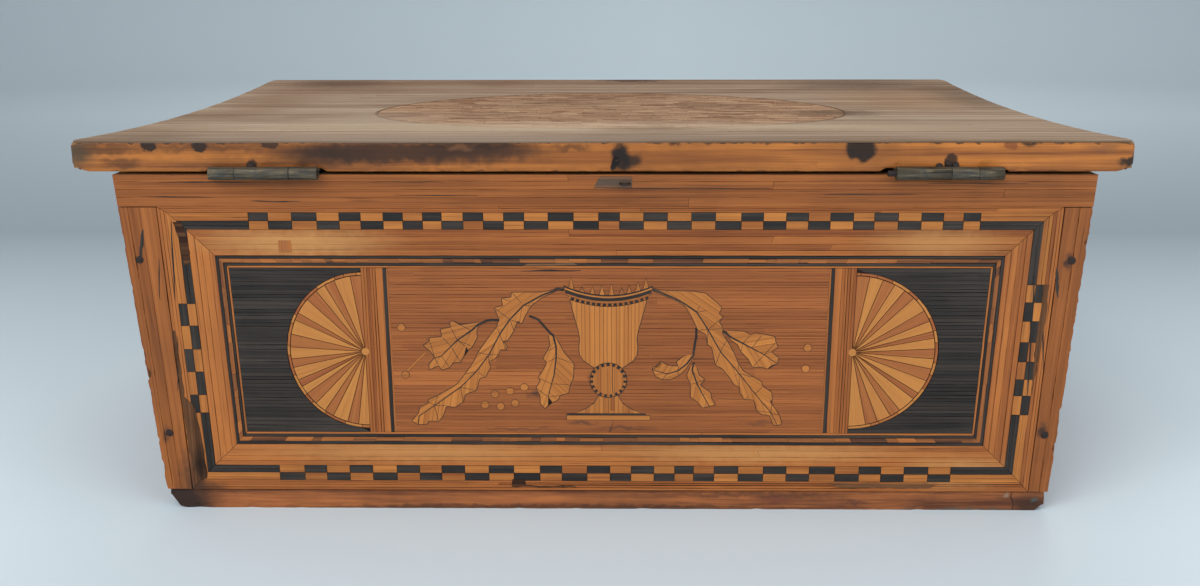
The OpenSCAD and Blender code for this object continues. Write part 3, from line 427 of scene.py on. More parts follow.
def tidy_loop(loop):
    """The loop without doubled points, anticlockwise."""
    near = 0.02
    kept = []
    for p in loop:
        if not kept or math.dist(p, kept[-1]) > near:
            kept.append(tuple(p))
    if math.dist(kept[0], kept[-1]) < near:
        kept.pop()
    return kept if doubled_area(kept) > 0 else kept[::-1]


def doubled_area(loop):
    return sum(p[0] * q[1] - q[0] * p[1] for p, q in zip(loop, loop[1:] + loop[:1]))


def thickness_of(loop):
    """Area of a loop over half its way round: the width of a strip of that shape."""
    return abs(doubled_area(loop)) / sum(math.dist(p, q) for p, q in zip(loop, loop[1:] + loop[:1]))


def shrunk(loop, distance):
    """The anticlockwise loop moved inwards, with its corners held back."""
    made = []
    for i, here in enumerate(loop):
        before, after = loop[i - 1], loop[(i + 1) % len(loop)]
        into = unit(here[0] - before[0], here[1] - before[1])
        out = unit(after[0] - here[0], after[1] - here[1])
        side = (-into[1] - out[1], into[0] + out[0])
        size = side[0] ** 2 + side[1] ** 2
        scale = min(2 / size, 2.5) if size > 1e-6 else 0
        made.append((here[0] + side[0] * scale * distance, here[1] + side[1] * scale * distance))
    return made


def cut_across(loop, angle, pitch, rand):
    """The loop cut into strips of about one pitch that run at an angle."""
    bm = bmesh.new()
    bm.faces.new([bm.verts.new((x, y, 0)) for x, y in tidy_loop(loop)])
    across = Vector((-math.sin(angle), math.cos(angle), 0))
    places = [v.co.dot(across) for v in bm.verts]
    place = min(places) + pitch * rand.uniform(0.3, 1)
    while place < max(places):
        geometry = bm.verts[:] + bm.edges[:] + bm.faces[:]
        bmesh.ops.bisect_plane(bm, geom=geometry, dist=1e-5, plane_co=across * place, plane_no=across)
        place += pitch * rand.uniform(0.7, 1.3)
    parts = [[(v.co.x, v.co.y) for v in face.verts] for face in bm.faces if face.calc_area() > 0.01]
    bm.free()
    return parts


def make_piece(name, points, faces, body, material, slot, nodes, **layers):
    """Mesh object at the origin with its grain map and its tone and soil values."""
    mesh = bpy.data.meshes.new(name)
    mesh.from_pydata(points, [], faces)
    if layers:
        uv = mesh.uv_layers.new(name="grain")
        uv.data.foreach_set("uv", [x for loop in mesh.loops for x in layers["grain"][loop.vertex_index]])
        for layer in ("tone", "soil"):
            mesh.attributes.new(layer, "FLOAT", "POINT").data.foreach_set("value", layers[layer])
    mesh.update()
    return finish_piece(name, mesh, body, material, slot, nodes)


def finish_piece(name, mesh, body, material, slot, nodes):
    """Object of a mesh, with its finish, its body and the frame's nodes that it stands for."""
    piece = bpy.data.objects.new(name, mesh)
    bpy.context.scene.collection.objects.link(piece)
    if not mesh.materials:
        mesh.materials.append(material)
    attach(piece, body)
    if nodes:
        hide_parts(*nodes)
    return piece


def refinish(node, material):
    """Gives a node of the frame another material."""
    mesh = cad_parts[node].data
    mesh.materials.clear()
    mesh.materials.append(material)


def give(tree, node, sockets):
    """Links or values for some of a node's inputs."""
    for key, value in sockets.items():
        if isinstance(value, bpy.types.NodeSocket):
            tree.links.new(value, node.inputs[key])
        else:
            node.inputs[key].default_value = value


def put(tree, kind, sockets=None, **settings):
    """Adds a node with settings, and with links or values for its inputs."""
    made = tree.nodes.new(kind)
    for key, value in settings.items():
        setattr(made, key, value)
    give(tree, made, sockets or {})
    return made


def maths(tree, operation, a, b=0.0, c=0.0, clamp=False):
    """Output of a Math node."""
    return put(tree, "ShaderNodeMath", {0: a, 1: b, 2: c}, operation=operation,
               use_clamp=clamp).outputs[0]


def times(tree, a, b):
    return maths(tree, "MULTIPLY", a, b)


def vector_maths(tree, operation, a, b=(0, 0, 0)):
    """Vector output of a Vector Math node."""
    return put(tree, "ShaderNodeVectorMath", {0: a, 1: b}, operation=operation).outputs[0]


def scaled(tree, vector, factor):
    """A vector times a number."""
    return put(tree, "ShaderNodeVectorMath", {0: vector, "Scale": factor}, operation="SCALE").outputs[0]


def blend_colour(tree, share, a, b):
    """Output of a Mix node for colours."""
    return put(tree, "ShaderNodeMix", {0: share, 6: a, 7: b}, data_type="RGBA", blend_type="MIX",
               clamp_factor=True).outputs[2]


def stretch(tree, value, low, high, to_low=0.0, to_high=1.0, **settings):
    """Maps a value from one range to another, clamped."""
    return put(tree, "ShaderNodeMapRange", {0: value, 1: low, 2: high, 3: to_low, 4: to_high},
               **settings).outputs[0]


def noise_value(tree, vector, scale, detail=2.0, rough=0.5, dimensions="3D"):
    """Value of a noise texture at a vector."""
    return put(tree, "ShaderNodeTexNoise", {
        "Vector": vector, "Scale": scale, "Detail": detail, "Roughness": rough},
        noise_dimensions=dimensions).outputs[0]


def sway(tree, value, strength):
    """A noise value as a swing about nothing, times a strength."""
    return times(tree, maths(tree, "SUBTRACT", stretch(tree, value, 0.3, 0.7), 0.5), strength)


def place_of(tree):
    """Place in the box's own frame."""
    return put(tree, "ShaderNodeTexCoord").outputs["Object"]


def separate(tree, vector):
    """The three numbers of a vector."""
    return tuple(put(tree, "ShaderNodeSeparateXYZ", {0: vector}).outputs)


def straw_group(tree, given):
    """Streaks, fibres and dirty edges of a straw splint, from its grain map, tone and soil."""
    grain = put(tree, "ShaderNodeUVMap", uv_map="grain").outputs[0]
    tone, soil = (put(tree, "ShaderNodeAttribute", attribute_name=name).outputs["Fac"]
                  for name in ("tone", "soil"))
    broad, fine, dash = (
        noise_value(tree, vector_maths(tree, "MULTIPLY", grain, pitch), 1, detail, dimensions="2D")
        for pitch, detail in (((8, 560, 0), 2), ((16, 3200, 0), 3), ((34, 3000, 0), 1)))
    level = maths(tree, "ADD", tone, sway(tree, broad, given["Streaks"]))
    level = maths(tree, "ADD", level, sway(tree, fine, given["Fibres"]), clamp=True)
    colour = blend_colour(tree, level, given["Dark"], given["Light"])
    fleck = times(tree, stretch(tree, dash, 0.68, 0.76), given["Flecks"])
    dirt = times(tree, maths(tree, "POWER", soil, 1.4), given["Soil Strength"])
    dirt = maths(tree, "MAXIMUM", dirt, fleck)
    return blend_colour(tree, dirt, colour, given["Soil"]), fine, dirt


def grime_group(tree, given):
    """Soft blotches over a whole side."""
    place = vector_maths(tree, "MULTIPLY", place_of(tree), given["Stretch"])
    value = put(tree, "ShaderNodeTexNoise", {
        "Vector": place, "Scale": given["Scale"], "Detail": 4.0, "Roughness": 0.6, "Distortion": 0.4})
    return [stretch(tree, value.outputs[0], given["Low"], given["High"])]


def stain_group(tree, given):
    """Mask of one stain: an ellipsoid with a soft border, at a point that may be ragged already."""
    away = vector_maths(tree, "SUBTRACT", given["Point"], given["Centre"])
    away = vector_maths(tree, "DIVIDE", away, given["Radii"])
    reach = put(tree, "ShaderNodeVectorMath", {0: away}, operation="LENGTH").outputs["Value"]
    inner = maths(tree, "SUBTRACT", 1.0, given["Softness"])
    return [stretch(tree, reach, inner, 1.0, 1.0, 0.0, interpolation_type="SMOOTHSTEP")]


def grain_group(tree, given):
    """Long wood grain on Object coordinates, stretched along one axis."""
    drawn = vector_maths(tree, "MULTIPLY", place_of(tree), given["Stretch"])
    broad, fine = noise_value(tree, drawn, 1.0, 5, 0.6), noise_value(tree, drawn, 6.0, 3, 0.6)
    level = maths(tree, "ADD", given["Level"], sway(tree, broad, given["Contrast"]))
    level = maths(tree, "ADD", level, sway(tree, fine, given["Lines"]), clamp=True)
    return blend_colour(tree, level, given["Dark"], given["Light"]), fine


def dressed(tree, geometry, given):
    """Geometry with the material given to the tree."""
    return put(tree, "GeometryNodeSetMaterial", {0: geometry, "Material": given["Material"]}).outputs[0]


def store(tree, geometry, name, value, kind="FLOAT_VECTOR", domain="POINT"):
    """Geometry with one more named attribute."""
    return put(tree, "GeometryNodeStoreNamedAttribute", {"Geometry": geometry, "Name": name, "Value": value},
               data_type=kind, domain=domain).outputs[0]


def named(tree, name):
    """A vector that the points hold under a name."""
    return put(tree, "GeometryNodeInputNamedAttribute", {"Name": name}, data_type="FLOAT_VECTOR").outputs[0]


def tile_tree(tree, given):
    """Tiles set on points, each of which holds its direction, outward way, size and lift."""
    gap, rounding, thickness = (given[k] for k in ("Gap", "Rounding", "Thickness"))
    place = put(tree, "GeometryNodeInputPosition").outputs[0]
    points = store(tree, given["Geometry"], "centre", place)
    cube = put(tree, "GeometryNodeMeshCube", {
        "Size": (2, 2, 2), "Vertices X": 2, "Vertices Y": 2, "Vertices Z": 3}).outputs[0]
    cube = store(tree, cube, "corner", place)
    made = put(tree, "GeometryNodeInstanceOnPoints", {"Points": points, "Instance": cube}).outputs[0]
    random_shift = put(tree, "FunctionNodeRandomValue", {"Seed": given["Seed"]},
                       data_type="FLOAT_VECTOR").outputs[0]
    made = store(tree, made, "shift", random_shift, domain="INSTANCE")
    made = put(tree, "GeometryNodeRealizeInstances", {0: made}).outputs[0]
    corner, centre, along, outward, size, shift = (
        named(tree, name) for name in ("corner", "centre", "along", "outward", "size", "shift"))
    corner_x, corner_y, level = separate(tree, corner)
    length, width, lift = separate(tree, size)
    top = maths(tree, "GREATER_THAN", level, 0.5)
    base = maths(tree, "LESS_THAN", level, -0.5)
    inset = maths(tree, "MULTIPLY_ADD", top, rounding, times(tree, gap, 0.5))
    x, y = (times(tree, sign, maths(tree, "SUBTRACT", times(tree, whole, 0.5), inset))
            for sign, whole in ((corner_x, length), (corner_y, width)))
    soil = maths(tree, "SUBTRACT", 1.0, top)
    z = maths(tree, "SUBTRACT", lift, times(tree, soil, rounding))
    z = maths(tree, "SUBTRACT", z, times(tree, base, thickness))
    across = vector_maths(tree, "CROSS_PRODUCT", outward, along)
    moved = centre
    for way, reach in ((along, x), (across, y), (outward, z)):
        moved = vector_maths(tree, "ADD", moved, scaled(tree, way, reach))
    made = put(tree, "GeometryNodeSetPosition", {"Geometry": made, "Position": moved}).outputs[0]
    made = store(tree, made, "soil", soil, "FLOAT")
    flat = put(tree, "ShaderNodeCombineXYZ", {0: x, 1: y}).outputs[0]
    made = store(tree, made, "grain", vector_maths(tree, "ADD", flat, shift), "FLOAT2", "CORNER")
    return [dressed(tree, made, given)]


def nail_tree(tree, given):
    """Hammered nail heads with their shanks, set on points along the way that each holds."""
    radius, height, length = (given[k] for k in ("Head Radius", "Head Height", "Shank Length"))
    ball = put(tree, "GeometryNodeMeshIcoSphere", {"Radius": 1.0, "Subdivisions": 3}).outputs[0]
    flat = put(tree, "ShaderNodeCombineXYZ", {0: radius, 1: radius, 2: height}).outputs[0]
    head = put(tree, "GeometryNodeTransform", {"Geometry": ball, "Scale": flat}).outputs[0]
    shank = put(tree, "GeometryNodeMeshCylinder", {
        "Vertices": 10, "Radius": given["Shank Radius"], "Depth": length}).outputs[0]
    down = put(tree, "ShaderNodeCombineXYZ", {2: times(tree, length, -0.5)}).outputs[0]
    shank = put(tree, "GeometryNodeTransform", {"Geometry": shank, "Translation": down}).outputs[0]
    nail = put(tree, "GeometryNodeJoinGeometry", {0: head})
    tree.links.new(shank, nail.inputs[0])
    turn = put(tree, "FunctionNodeAlignRotationToVector", {"Vector": named(tree, "outward")},
               axis="Z").outputs[0]
    made = put(tree, "GeometryNodeInstanceOnPoints", {
        "Points": given["Geometry"], "Instance": nail.outputs[0], "Rotation": turn}).outputs[0]
    made = put(tree, "GeometryNodeRealizeInstances", {0: made}).outputs[0]
    place = put(tree, "GeometryNodeInputPosition").outputs[0]
    offset = put(tree, "ShaderNodeCombineXYZ", {0: given["Seed"]}).outputs[0]
    rough = put(tree, "ShaderNodeTexNoise", {
        "Vector": vector_maths(tree, "ADD", place, offset), "Scale": 520.0}).outputs[1]
    stray = scaled(tree, vector_maths(tree, "SUBTRACT", rough, (0.5, 0.5, 0.5)), given["Roughness"])
    made = put(tree, "GeometryNodeSetPosition", {"Geometry": made, "Offset": stray}).outputs[0]
    return [dressed(tree, made, given)]


# The node trees by name: maker, kind, inputs as name, socket and value, and outputs
TREES = {
    "Straw splint": (straw_group, "ShaderNodeTree", (
        ("Light", "Color", (1, 1, 1, 1)), ("Dark", "Color", (0, 0, 0, 1)), ("Soil", "Color", (0, 0, 0, 1)),
        ("Streaks", "Float", 0.5), ("Fibres", "Float", 0.35), ("Flecks", "Float", 0.5),
        ("Soil Strength", "Float", 0.8)), (("Color", "Color"), ("Fibre", "Float"), ("Dirt", "Float"))),
    "Grime": (grime_group, "ShaderNodeTree", (
        ("Scale", "Float", 18.0), ("Low", "Float", 0.45), ("High", "Float", 0.75),
        ("Stretch", "Vector", (1, 1, 1))), (("Mask", "Float"),)),
    "Stain": (stain_group, "ShaderNodeTree", (
        ("Point", "Vector", (0, 0, 0)), ("Centre", "Vector", (0, 0, 0)), ("Radii", "Vector", (1, 1, 1)),
        ("Softness", "Float", 0.5)), (("Mask", "Float"),)),
    "Wood grain": (grain_group, "ShaderNodeTree", (
        ("Light", "Color", (1, 1, 1, 1)), ("Dark", "Color", (0, 0, 0, 1)),
        ("Stretch", "Vector", (8, 160, 160)), ("Level", "Float", 0.5), ("Contrast", "Float", 0.8),
        ("Lines", "Float", 0.4)),
        (("Color", "Color"), ("Lines", "Float"))),
    "Inlaid tiles": (tile_tree, "GeometryNodeTree", (
        ("Geometry", "Geometry", None), ("Gap", "Float", 0.0001), ("Rounding", "Float", 0.0001),
        ("Thickness", "Float", 0.0008), ("Seed", "Int", 0), ("Material", "Material", None)),
        (("Geometry", "Geometry"),)),
    "Cut nails": (nail_tree, "GeometryNodeTree", (
        ("Geometry", "Geometry", None), ("Head Radius", "Float", 0.0019), ("Head Height", "Float", 0.0006),
        ("Shank Radius", "Float", 0.0009), ("Shank Length", "Float", 0.02), ("Roughness", "Float", 0.0004),
        ("Seed", "Int", 0), ("Material", "Material", None)), (("Geometry", "Geometry"),)),
}
BUILT = {}


def tree_of(name):
    """One of the node trees, which are built once."""
    if name not in BUILT:
        make, kind, inputs, outputs = TREES[name]
        tree = BUILT[name] = bpy.data.node_groups.new(name, kind)
        for label, socket, value in inputs:
            made = tree.interface.new_socket(label, in_out="INPUT", socket_type="NodeSocket" + socket)
            if value is not None:
                made.default_value = value
        for label, socket in outputs:
            tree.interface.new_socket(label, in_out="OUTPUT", socket_type="NodeSocket" + socket)
        given, out = tree.nodes.new("NodeGroupInput"), tree.nodes.new("NodeGroupOutput")
        for k, value in enumerate(make(tree, given.outputs)):
            tree.links.new(value, out.inputs[k])
    return BUILT[name]


def group_node(tree, name, sockets):
    """A node of one of the shared groups."""
    return put(tree, "ShaderNodeGroup", sockets, node_tree=tree_of(name))


def new_material(name):
    """New material, its node tree and its shader."""
    material = bpy.data.materials.new(name)
    material.use_nodes = True
    tree = material.node_tree
    tree.nodes.clear()
    shader = put(tree, "ShaderNodeBsdfPrincipled")
    put(tree, "ShaderNodeOutputMaterial", {"Surface": shader.outputs[0]}, location=(300, 0))
    return material, tree, shader


def bumped(tree, shader, height, distance, strength):
    """Joins a bump to the shader."""
    bump = put(tree, "ShaderNodeBump", {"Height": height, "Distance": distance, "Strength": strength})
    tree.links.new(bump.outputs[0], shader.inputs["Normal"])


def grimed(tree, colour, strength, grime_colour, sockets):
    """The colour with soft blotches of grime over it."""
    share = times(tree, group_node(tree, "Grime", sockets).outputs[0], strength)
    return blend_colour(tree, share, colour, shade(grime_colour))


def stained(tree, colour, stains, ragged=0.0012):
    """The colour with stains over it. A stain is centre, radii in metres, colour, strength, softness."""
    if not stains:
        return colour
    place = place_of(tree)
    rough = put(tree, "ShaderNodeTexNoise", {"Vector": place, "Scale": 260.0, "Detail": 3.0})
    stray = vector_maths(tree, "SUBTRACT", rough.outputs["Color"], (0.5, 0.5, 0.5))
    warped = vector_maths(tree, "ADD", place, scaled(tree, stray, ragged * 4))
    for centre, radii, stain_colour, strength, softness in stains:
        mask = group_node(tree, "Stain", {"Point": warped, "Centre": tuple(centre),
                          "Radii": tuple(radii), "Softness": softness}).outputs[0]
        colour = blend_colour(tree, times(tree, mask, strength), colour, shade(stain_colour))
    return colour


def straw_material(name, light, dark, soil="soil", streaks=0.5, fibres=0.35, flecks=0.5, soil_strength=0.8,
                   grime=0.25, grime_colour=None, rough=0.46, stains=(), ragged=0.0012, gloss=0.28,
                   drawn=(1, 1, 1)):
    """Satin straw: the shared splint look with grime and stains over it."""
    material, tree, shader = new_material(name)
    straw = group_node(tree, "Straw splint", {
        "Light": shade(light), "Dark": shade(dark), "Soil": shade(soil), "Streaks": streaks,
        "Fibres": fibres, "Flecks": flecks, "Soil Strength": soil_strength})
    colour, fibre, dirt = straw.outputs
    colour = grimed(tree, colour, grime, grime_colour or soil, {
        "Scale": 22.0, "Low": 0.46, "High": 0.8, "Stretch": drawn})
    dull = stretch(tree, fibre, 0.3, 0.7, rough - 0.06, rough + 0.1)
    give(tree, shader, {
        "Base Color": stained(tree, colour, stains, ragged), "Specular IOR Level": gloss,
        "Roughness": maths(tree, "ADD", dull, times(tree, dirt, 0.3), clamp=True)})
    bumped(tree, shader, fibre, 0.00004, 0.5)
    return material


def ebony_material(name):
    """Ebonised straw, rubbed here and there down to grey."""
    return straw_material(name, "ebony_light", "ebony_dark", srgb(20, 17, 16), fibres=0.4, flecks=0.2,
                          soil_strength=0.7, grime=0.12, grime_colour=srgb(128, 112, 100), rough=0.5)


def wood_material(name, light, dark, along="x", level=0.5, contrast=0.8, lines=0.4, rough=0.6, stains=(),
                  grime=0.3, grime_colour=(0.02, 0.014, 0.01), bump=0.00006, pitch=(7.0, 190.0)):
    """Long-grained board with grime and stains over it."""
    material, tree, shader = new_material(name)
    length, width = pitch
    wood = group_node(tree, "Wood grain", {
        "Light": shade(light), "Dark": shade(dark), "Level": level, "Contrast": contrast, "Lines": lines,
        "Stretch": (length, width, width) if along == "x" else (width, length, width)})
    colour, line = wood.outputs
    colour = grimed(tree, colour, grime, grime_colour, {"Scale": 16.0, "Low": 0.45, "High": 0.8})
    give(tree, shader, {
        "Base Color": stained(tree, colour, stains), "Specular IOR Level": 0.28,
        "Roughness": stretch(tree, line, 0.3, 0.7, rough - 0.08, rough + 0.12)})
    bumped(tree, shader, line, bump, 0.7)
    return material


# Stage

CAMERA_PLACE = (0.0063, -0.5804, 0.2004)
CAMERA_DOWN = math.radians(14.1)
CAMERA_TURN = math.radians(0.78)
CAMERA_ROLL = math.radians(0.12)
CAMERA_LENS = 37.68
PHOTO_SENSOR = 36.0


def add_object(name, data):
    """New object in the scene."""
    made = bpy.data.objects.new(name, data)
    bpy.context.scene.collection.objects.link(made)
    return made


def add_lamp(name, place, target, size, power, colour):
    """Soft lamp that points from its place at a target."""
    lamp = bpy.data.lights.new(name, "AREA")
    lamp.shape = "RECTANGLE"
    lamp.size, lamp.size_y = size
    lamp.energy = power
    lamp.color = colour
    made = add_object(name, lamp)
    made.location = place
    made.rotation_euler = (Vector(target) - Vector(place)).to_track_quat("-Z", "Y").to_euler()


def floor_material():
    """Pale floor with painted shade behind the box and a painted pool of light far off in the middle."""
    material, tree, shader = new_material("Pale floor")
    x, y, _ = separate(tree, place_of(tree))
    # Painted shade: the floor grows darker behind the box, then turns to the backdrop's colour.
    colour = blend_colour(tree, stretch(tree, y, -0.15, 0.42), shade("floor"), shade("behind"))
    colour = blend_colour(tree, stretch(tree, y, 0.42, 1.3), colour, shade("backdrop"))
    way = maths(tree, "DIVIDE", x, maths(tree, "ADD", maths(tree, "MAXIMUM", y, 0.1), 0.6))
    aside = maths(tree, "ABSOLUTE", maths(tree, "SUBTRACT", way, 0.04))
    # Painted light: a pool of light brightens the backdrop far off in the middle.
    painted_light_pool = times(tree, stretch(tree, aside, 0.0, 0.52, 1.0, 0.0), stretch(tree, y, 0.5, 1.3))
    colour = blend_colour(tree, painted_light_pool, colour, shade("backdrop_middle"))
    give(tree, shader, {"Base Color": colour, "Roughness": 0.8, "Specular IOR Level": 0.1})
    return material


class STRAWBOX_OT_stage(bpy.types.Operator):
    """Camera, lamps, pale floor and curved backdrop"""

    bl_idname = "strawbox.stage"
    bl_label = "Stage"

    def execute(self, context):
        scene = context.scene
        scene.view_settings.view_transform = "Standard"
        camera = bpy.data.cameras.new("camera")
        camera.lens = CAMERA_LENS
        camera.sensor_width = PHOTO_SENSOR
        camera.clip_start = 0.01
        made = add_object("camera", camera)
        made.location = CAMERA_PLACE
        made.rotation_euler = (math.pi / 2 - CAMERA_DOWN, CAMERA_ROLL, CAMERA_TURN)
        scene.camera = made
        add_lamp("key", (-1.1, -1.7, 1.9), (0, 0, 0.05), (1.6, 1.6), 33.5, (1.0, 0.985, 0.96))
        add_lamp("fill", (1.6, -1.5, 1.0), (0, 0, 0.05), (1.4, 1.4), 13.8, (0.98, 0.99, 1.0))
        add_lamp("rear", (0.2, 1.8, 2.0), (0, 0, 0.1), (1.8, 1.2), 20.6, (1.0, 1.0, 1.0))
        world = bpy.data.worlds.new("soft light")
        scene.world = world
        world.use_nodes = True
        background = world.node_tree.nodes["Background"]
        give(world.node_tree, background, {0: (0.95, 0.98, 1.0, 1), 1: 0.51})
        self.sweep()
        return {"FINISHED"}

    def sweep(self):
        """Round floor whose rim curves up into a backdrop on every side."""
        flat_r, bend_r, wall, turns = 2.1, 0.7, 0.5, 72
        profile = [(0.5, 0.0), (1.2, 0.0), (flat_r, 0.0)]
        for angle in (math.pi / 2 * i / 8 for i in range(1, 9)):
            profile.append((flat_r + bend_r * math.sin(angle), bend_r * (1 - math.cos(angle))))
        profile.append((flat_r + bend_r, bend_r + wall))
        points = [(0, 0, 0)]
        for r, z in profile:
            points += [(x, y, z) for x, y in circle((0, 0), r, turns)]
        faces = [(0, 1 + i, 1 + (i + 1) % turns) for i in range(turns)]
        for low in (1 + ring * turns for ring in range(len(profile) - 1)):
            faces += [(low + i, low + turns + i, low + turns + (i + 1) % turns, low + (i + 1) % turns)
                      for i in range(turns)]
        mesh = bpy.data.meshes.new("floor")
        mesh.from_pydata(points, [], faces)
        for face in mesh.polygons:
            face.use_smooth = True
        mesh.materials.append(floor_material())
        add_object("floor", mesh)


# Rails, bands and panels

def back_stains(depth, colour, rows):
    """Stains of the back in millimetres: place, radii across and up, strength and softness."""
    return [(BACK.point(u, v), (ru * MM, depth * MM, rv * MM), srgb(*colour), strength, soft)
            for u, v, ru, rv, strength, soft in rows]


def corner_smear():
    """Dark smear low at the left of the back."""
    return back_stains(4, (48, 36, 30), ((-158, 12, 8, 18, 0.75, 0.8), (-152, 8, 10, 5, 0.6, 0.8)))


class STRAWBOX_OT_rails(bpy.types.Operator):
    """Top rails and corner strips of the four sides"""

    bl_idname = "strawbox.rails"
    bl_label = "Rails and strips"

    def execute(self, context):
        iron = back_stains(2, (34, 30, 30), (
            (-167.3, 31.5, 2.2, 4.5, 0.85, 0.9), (169.2, 99.7, 2.4, 5, 0.85, 0.9),
            (166.5, 33.7, 2.6, 5, 0.85, 0.9)))
        material = straw_material("Rail straw", "rail_light", "rail_dark", fibres=0.3, soil_strength=0.7,
                                  grime=0.3, stains=iron + corner_smear(), rough=0.5)
        for side in SIDES:
            inlay = Inlay(side, seed_of(side.name, "rails"))
            low = side.line_v(1, 1)
            rail = [(side.edge(way, v), v) for v in (low, side.top) for way in (-1, 1)]
            inlay.fill(*rail, size_of("rail_splint"), (0.35, 0.6), run=260)
            for way in (-1, 1):
                ends = (side.low, low - 0.15)
                strip = [(side.edge(way, v), v) for v in ends]
                strip += [(side.line_u(1, way, v) + way * 0.3, v) for v in ends]
                inlay.fill(*strip, STRIP_PITCH, (0.4, 0.65), run=300, wobble=1.8,
                           torn=2.2 if side is BACK and way < 0 else 1.2)
            inlay.side_piece("rail_splints", material, "edge_straw", "edge_rails")
        return {"FINISHED"}


class STRAWBOX_OT_bands(bpy.types.Operator):
    """Straw bands, fine lines and the upright bands beside the fans"""

    bl_idname = "strawbox.bands"
    bl_label = "Straw bands"

    def execute(self, context):
        pale = back_stains(4, (206, 150, 90), (
            (-112, 107, 50, 8, 0.7, 0.9), (122, 107, 36, 8, 0.5, 0.9), (60, 24, 80, 6, 0.6, 0.9),
            (-70, 24, 90, 6, 0.5, 0.9), (135, 16, 30, 10, 0.6, 0.9)))
        material = straw_material(
            "Band straw", "straw_light", "straw_dark", streaks=0.4, fibres=0.25, flecks=0.6,
            soil_strength=0.7, grime=0.22, stains=corner_smear() + pale)
        for side in SIDES:
            inlay = Inlay(side, seed_of(side.name, "bands"))
            inlay.gap *= 1.3
            inlay.dirt = (0.2, 0.5, 0.8, 1)
            for edges in side.runs(1, 2):
                inlay.fill(*edges, 1.5, (0.3, 0.9), run=180)
            for edges in side.runs(4, 5):
                inlay.fill(*edges, size_of("band_splint"), (0.2, 1.0), run=240)
            for way in (-1, 1):
                far = side.fan_u
                for width, tones in FAN_STRIPS:
                    inlay.splint(*side.upright(way, far, far - width), inlay.random.uniform(*tones))
                    far -= width
            inlay.side_piece("band_splints", material, "straw", "straw_bands")
        return {"FINISHED"}


class STRAWBOX_OT_stringing(bpy.types.Operator):
    """Black, light and mosaic lines round the panels"""

    bl_idname = "strawbox.stringing"
    bl_label = "Stringing"

    def execute(self, context):
        mosaic = straw_material("Mosaic straw", "straw_light", srgb(84, 50, 34), streaks=0.4, flecks=0.4,
                                grime=0.2)
        black = ebony_material("Ebonised lines")
        for side in SIDES:
            light_lines = Inlay(side, seed_of(side.name, "light lines"))
            black_lines = Inlay(side, seed_of(side.name, "black lines"))
            width = END_WIDTHS[5]
            for start, end, kind in STRINGING:
                for edges in side.runs(5 + start / width, 5 + end / width):
                    if kind == "black":
                        black_lines.fill(*edges, end - start, (0.05, 0.3), run=300)
                    elif kind == "light":
                        light_lines.fill(*edges, end - start, (0.5, 0.9), run=160)
                    else:
                        self.mosaic(light_lines, *edges)
            inner = side.middle_half
            line = inner + FAN_BAND_LIGHT
            outer = inner + (FAN_BAND_LIGHT + FAN_BAND_BLACK)
            for way in (-1, 1):
                light_lines.fill(*side.upright(way, inner, line), 1, (0.6, 0.9))
                black_lines.fill(*side.upright(way, line, outer), 2, (0.05, 0.25))
            light_lines.side_piece("light_lines", mosaic, "stringing", "stringing")
            black_lines.side_piece("black_lines", black, "ebonised_straw", "stringing")
        return {"FINISHED"}

    def mosaic(self, inlay, a0, a1, b0, b1):
        """Short bits of straw end to end, light and dark in turn."""
        rand = inlay.random
        length = math.dist(a0, a1)
        place = 0.0
        while place < length - 2:
            size = rand.choice((3, 4, 6, 9, 14)) * rand.uniform(0.8, 1.2)
            s0, s1 = place / length, min(1.0, (place + size) / length)
            tone = rand.choice((0.15, 0.4, 0.5, 0.55, 0.6, 0.8))
            inlay.splint(mix(a0, a1, s0), mix(a0, a1, s1), mix(b0, b1, s0), mix(b0, b1, s1), tone)
            place += size + 0.1


class STRAWBOX_OT_end_panels(bpy.types.Operator):
    """Ebonised ground round the fans"""

    bl_idname = "strawbox.end_panels"
    bl_label = "Ebonised panels"

    def execute(self, context):
        material = ebony_material("Ebonised straw")
        for side in SIDES:
            inlay = Inlay(side, seed_of(side.name, "ebony"))
            low, high = side.panel_low, side.panel_high
            for way in (-1, 1):
                flat = side.shift + way * side.fan_u
                a0, b0 = side.corner(6, way, -1), side.corner(6, way, 1)

                def trim(f, side=side, way=way, a0=a0, b0=b0, flat=flat):
                    v = mix(side.panel_low, side.panel_high, f)
                    return (0, 1 - side.fan_edge(way, v) / abs(flat - mix(a0[0], b0[0], f)))

                inlay.fill(a0, (flat, low), b0, (flat, high), size_of("panel_splint"), (0.0, 0.35), trim=trim)
            inlay.side_piece("ebonised_splints", material, "ebonised_straw", "end_panels")
        return {"FINISHED"}


# Lighter or darker runs of the middle panels of the back and front: v from, v to, u from, u to, tones
GROUND_RUNS = (
    (50.7, 56.5, -79, -24, (0.8, 1.0)), (82.2, 88.3, 20, 84, (0.6, 0.75)), (52.2, 57.9, 57, 84, (0.62, 0.78)),
    (42.6, 47.6, 43, 84, (0.6, 0.75)), (53, 57.5, -12, -6, (0.7, 0.85)), (66, 74, 10, 60, (0.34, 0.44)),
    (58, 64, -40, 10, (0.36, 0.46)),
)


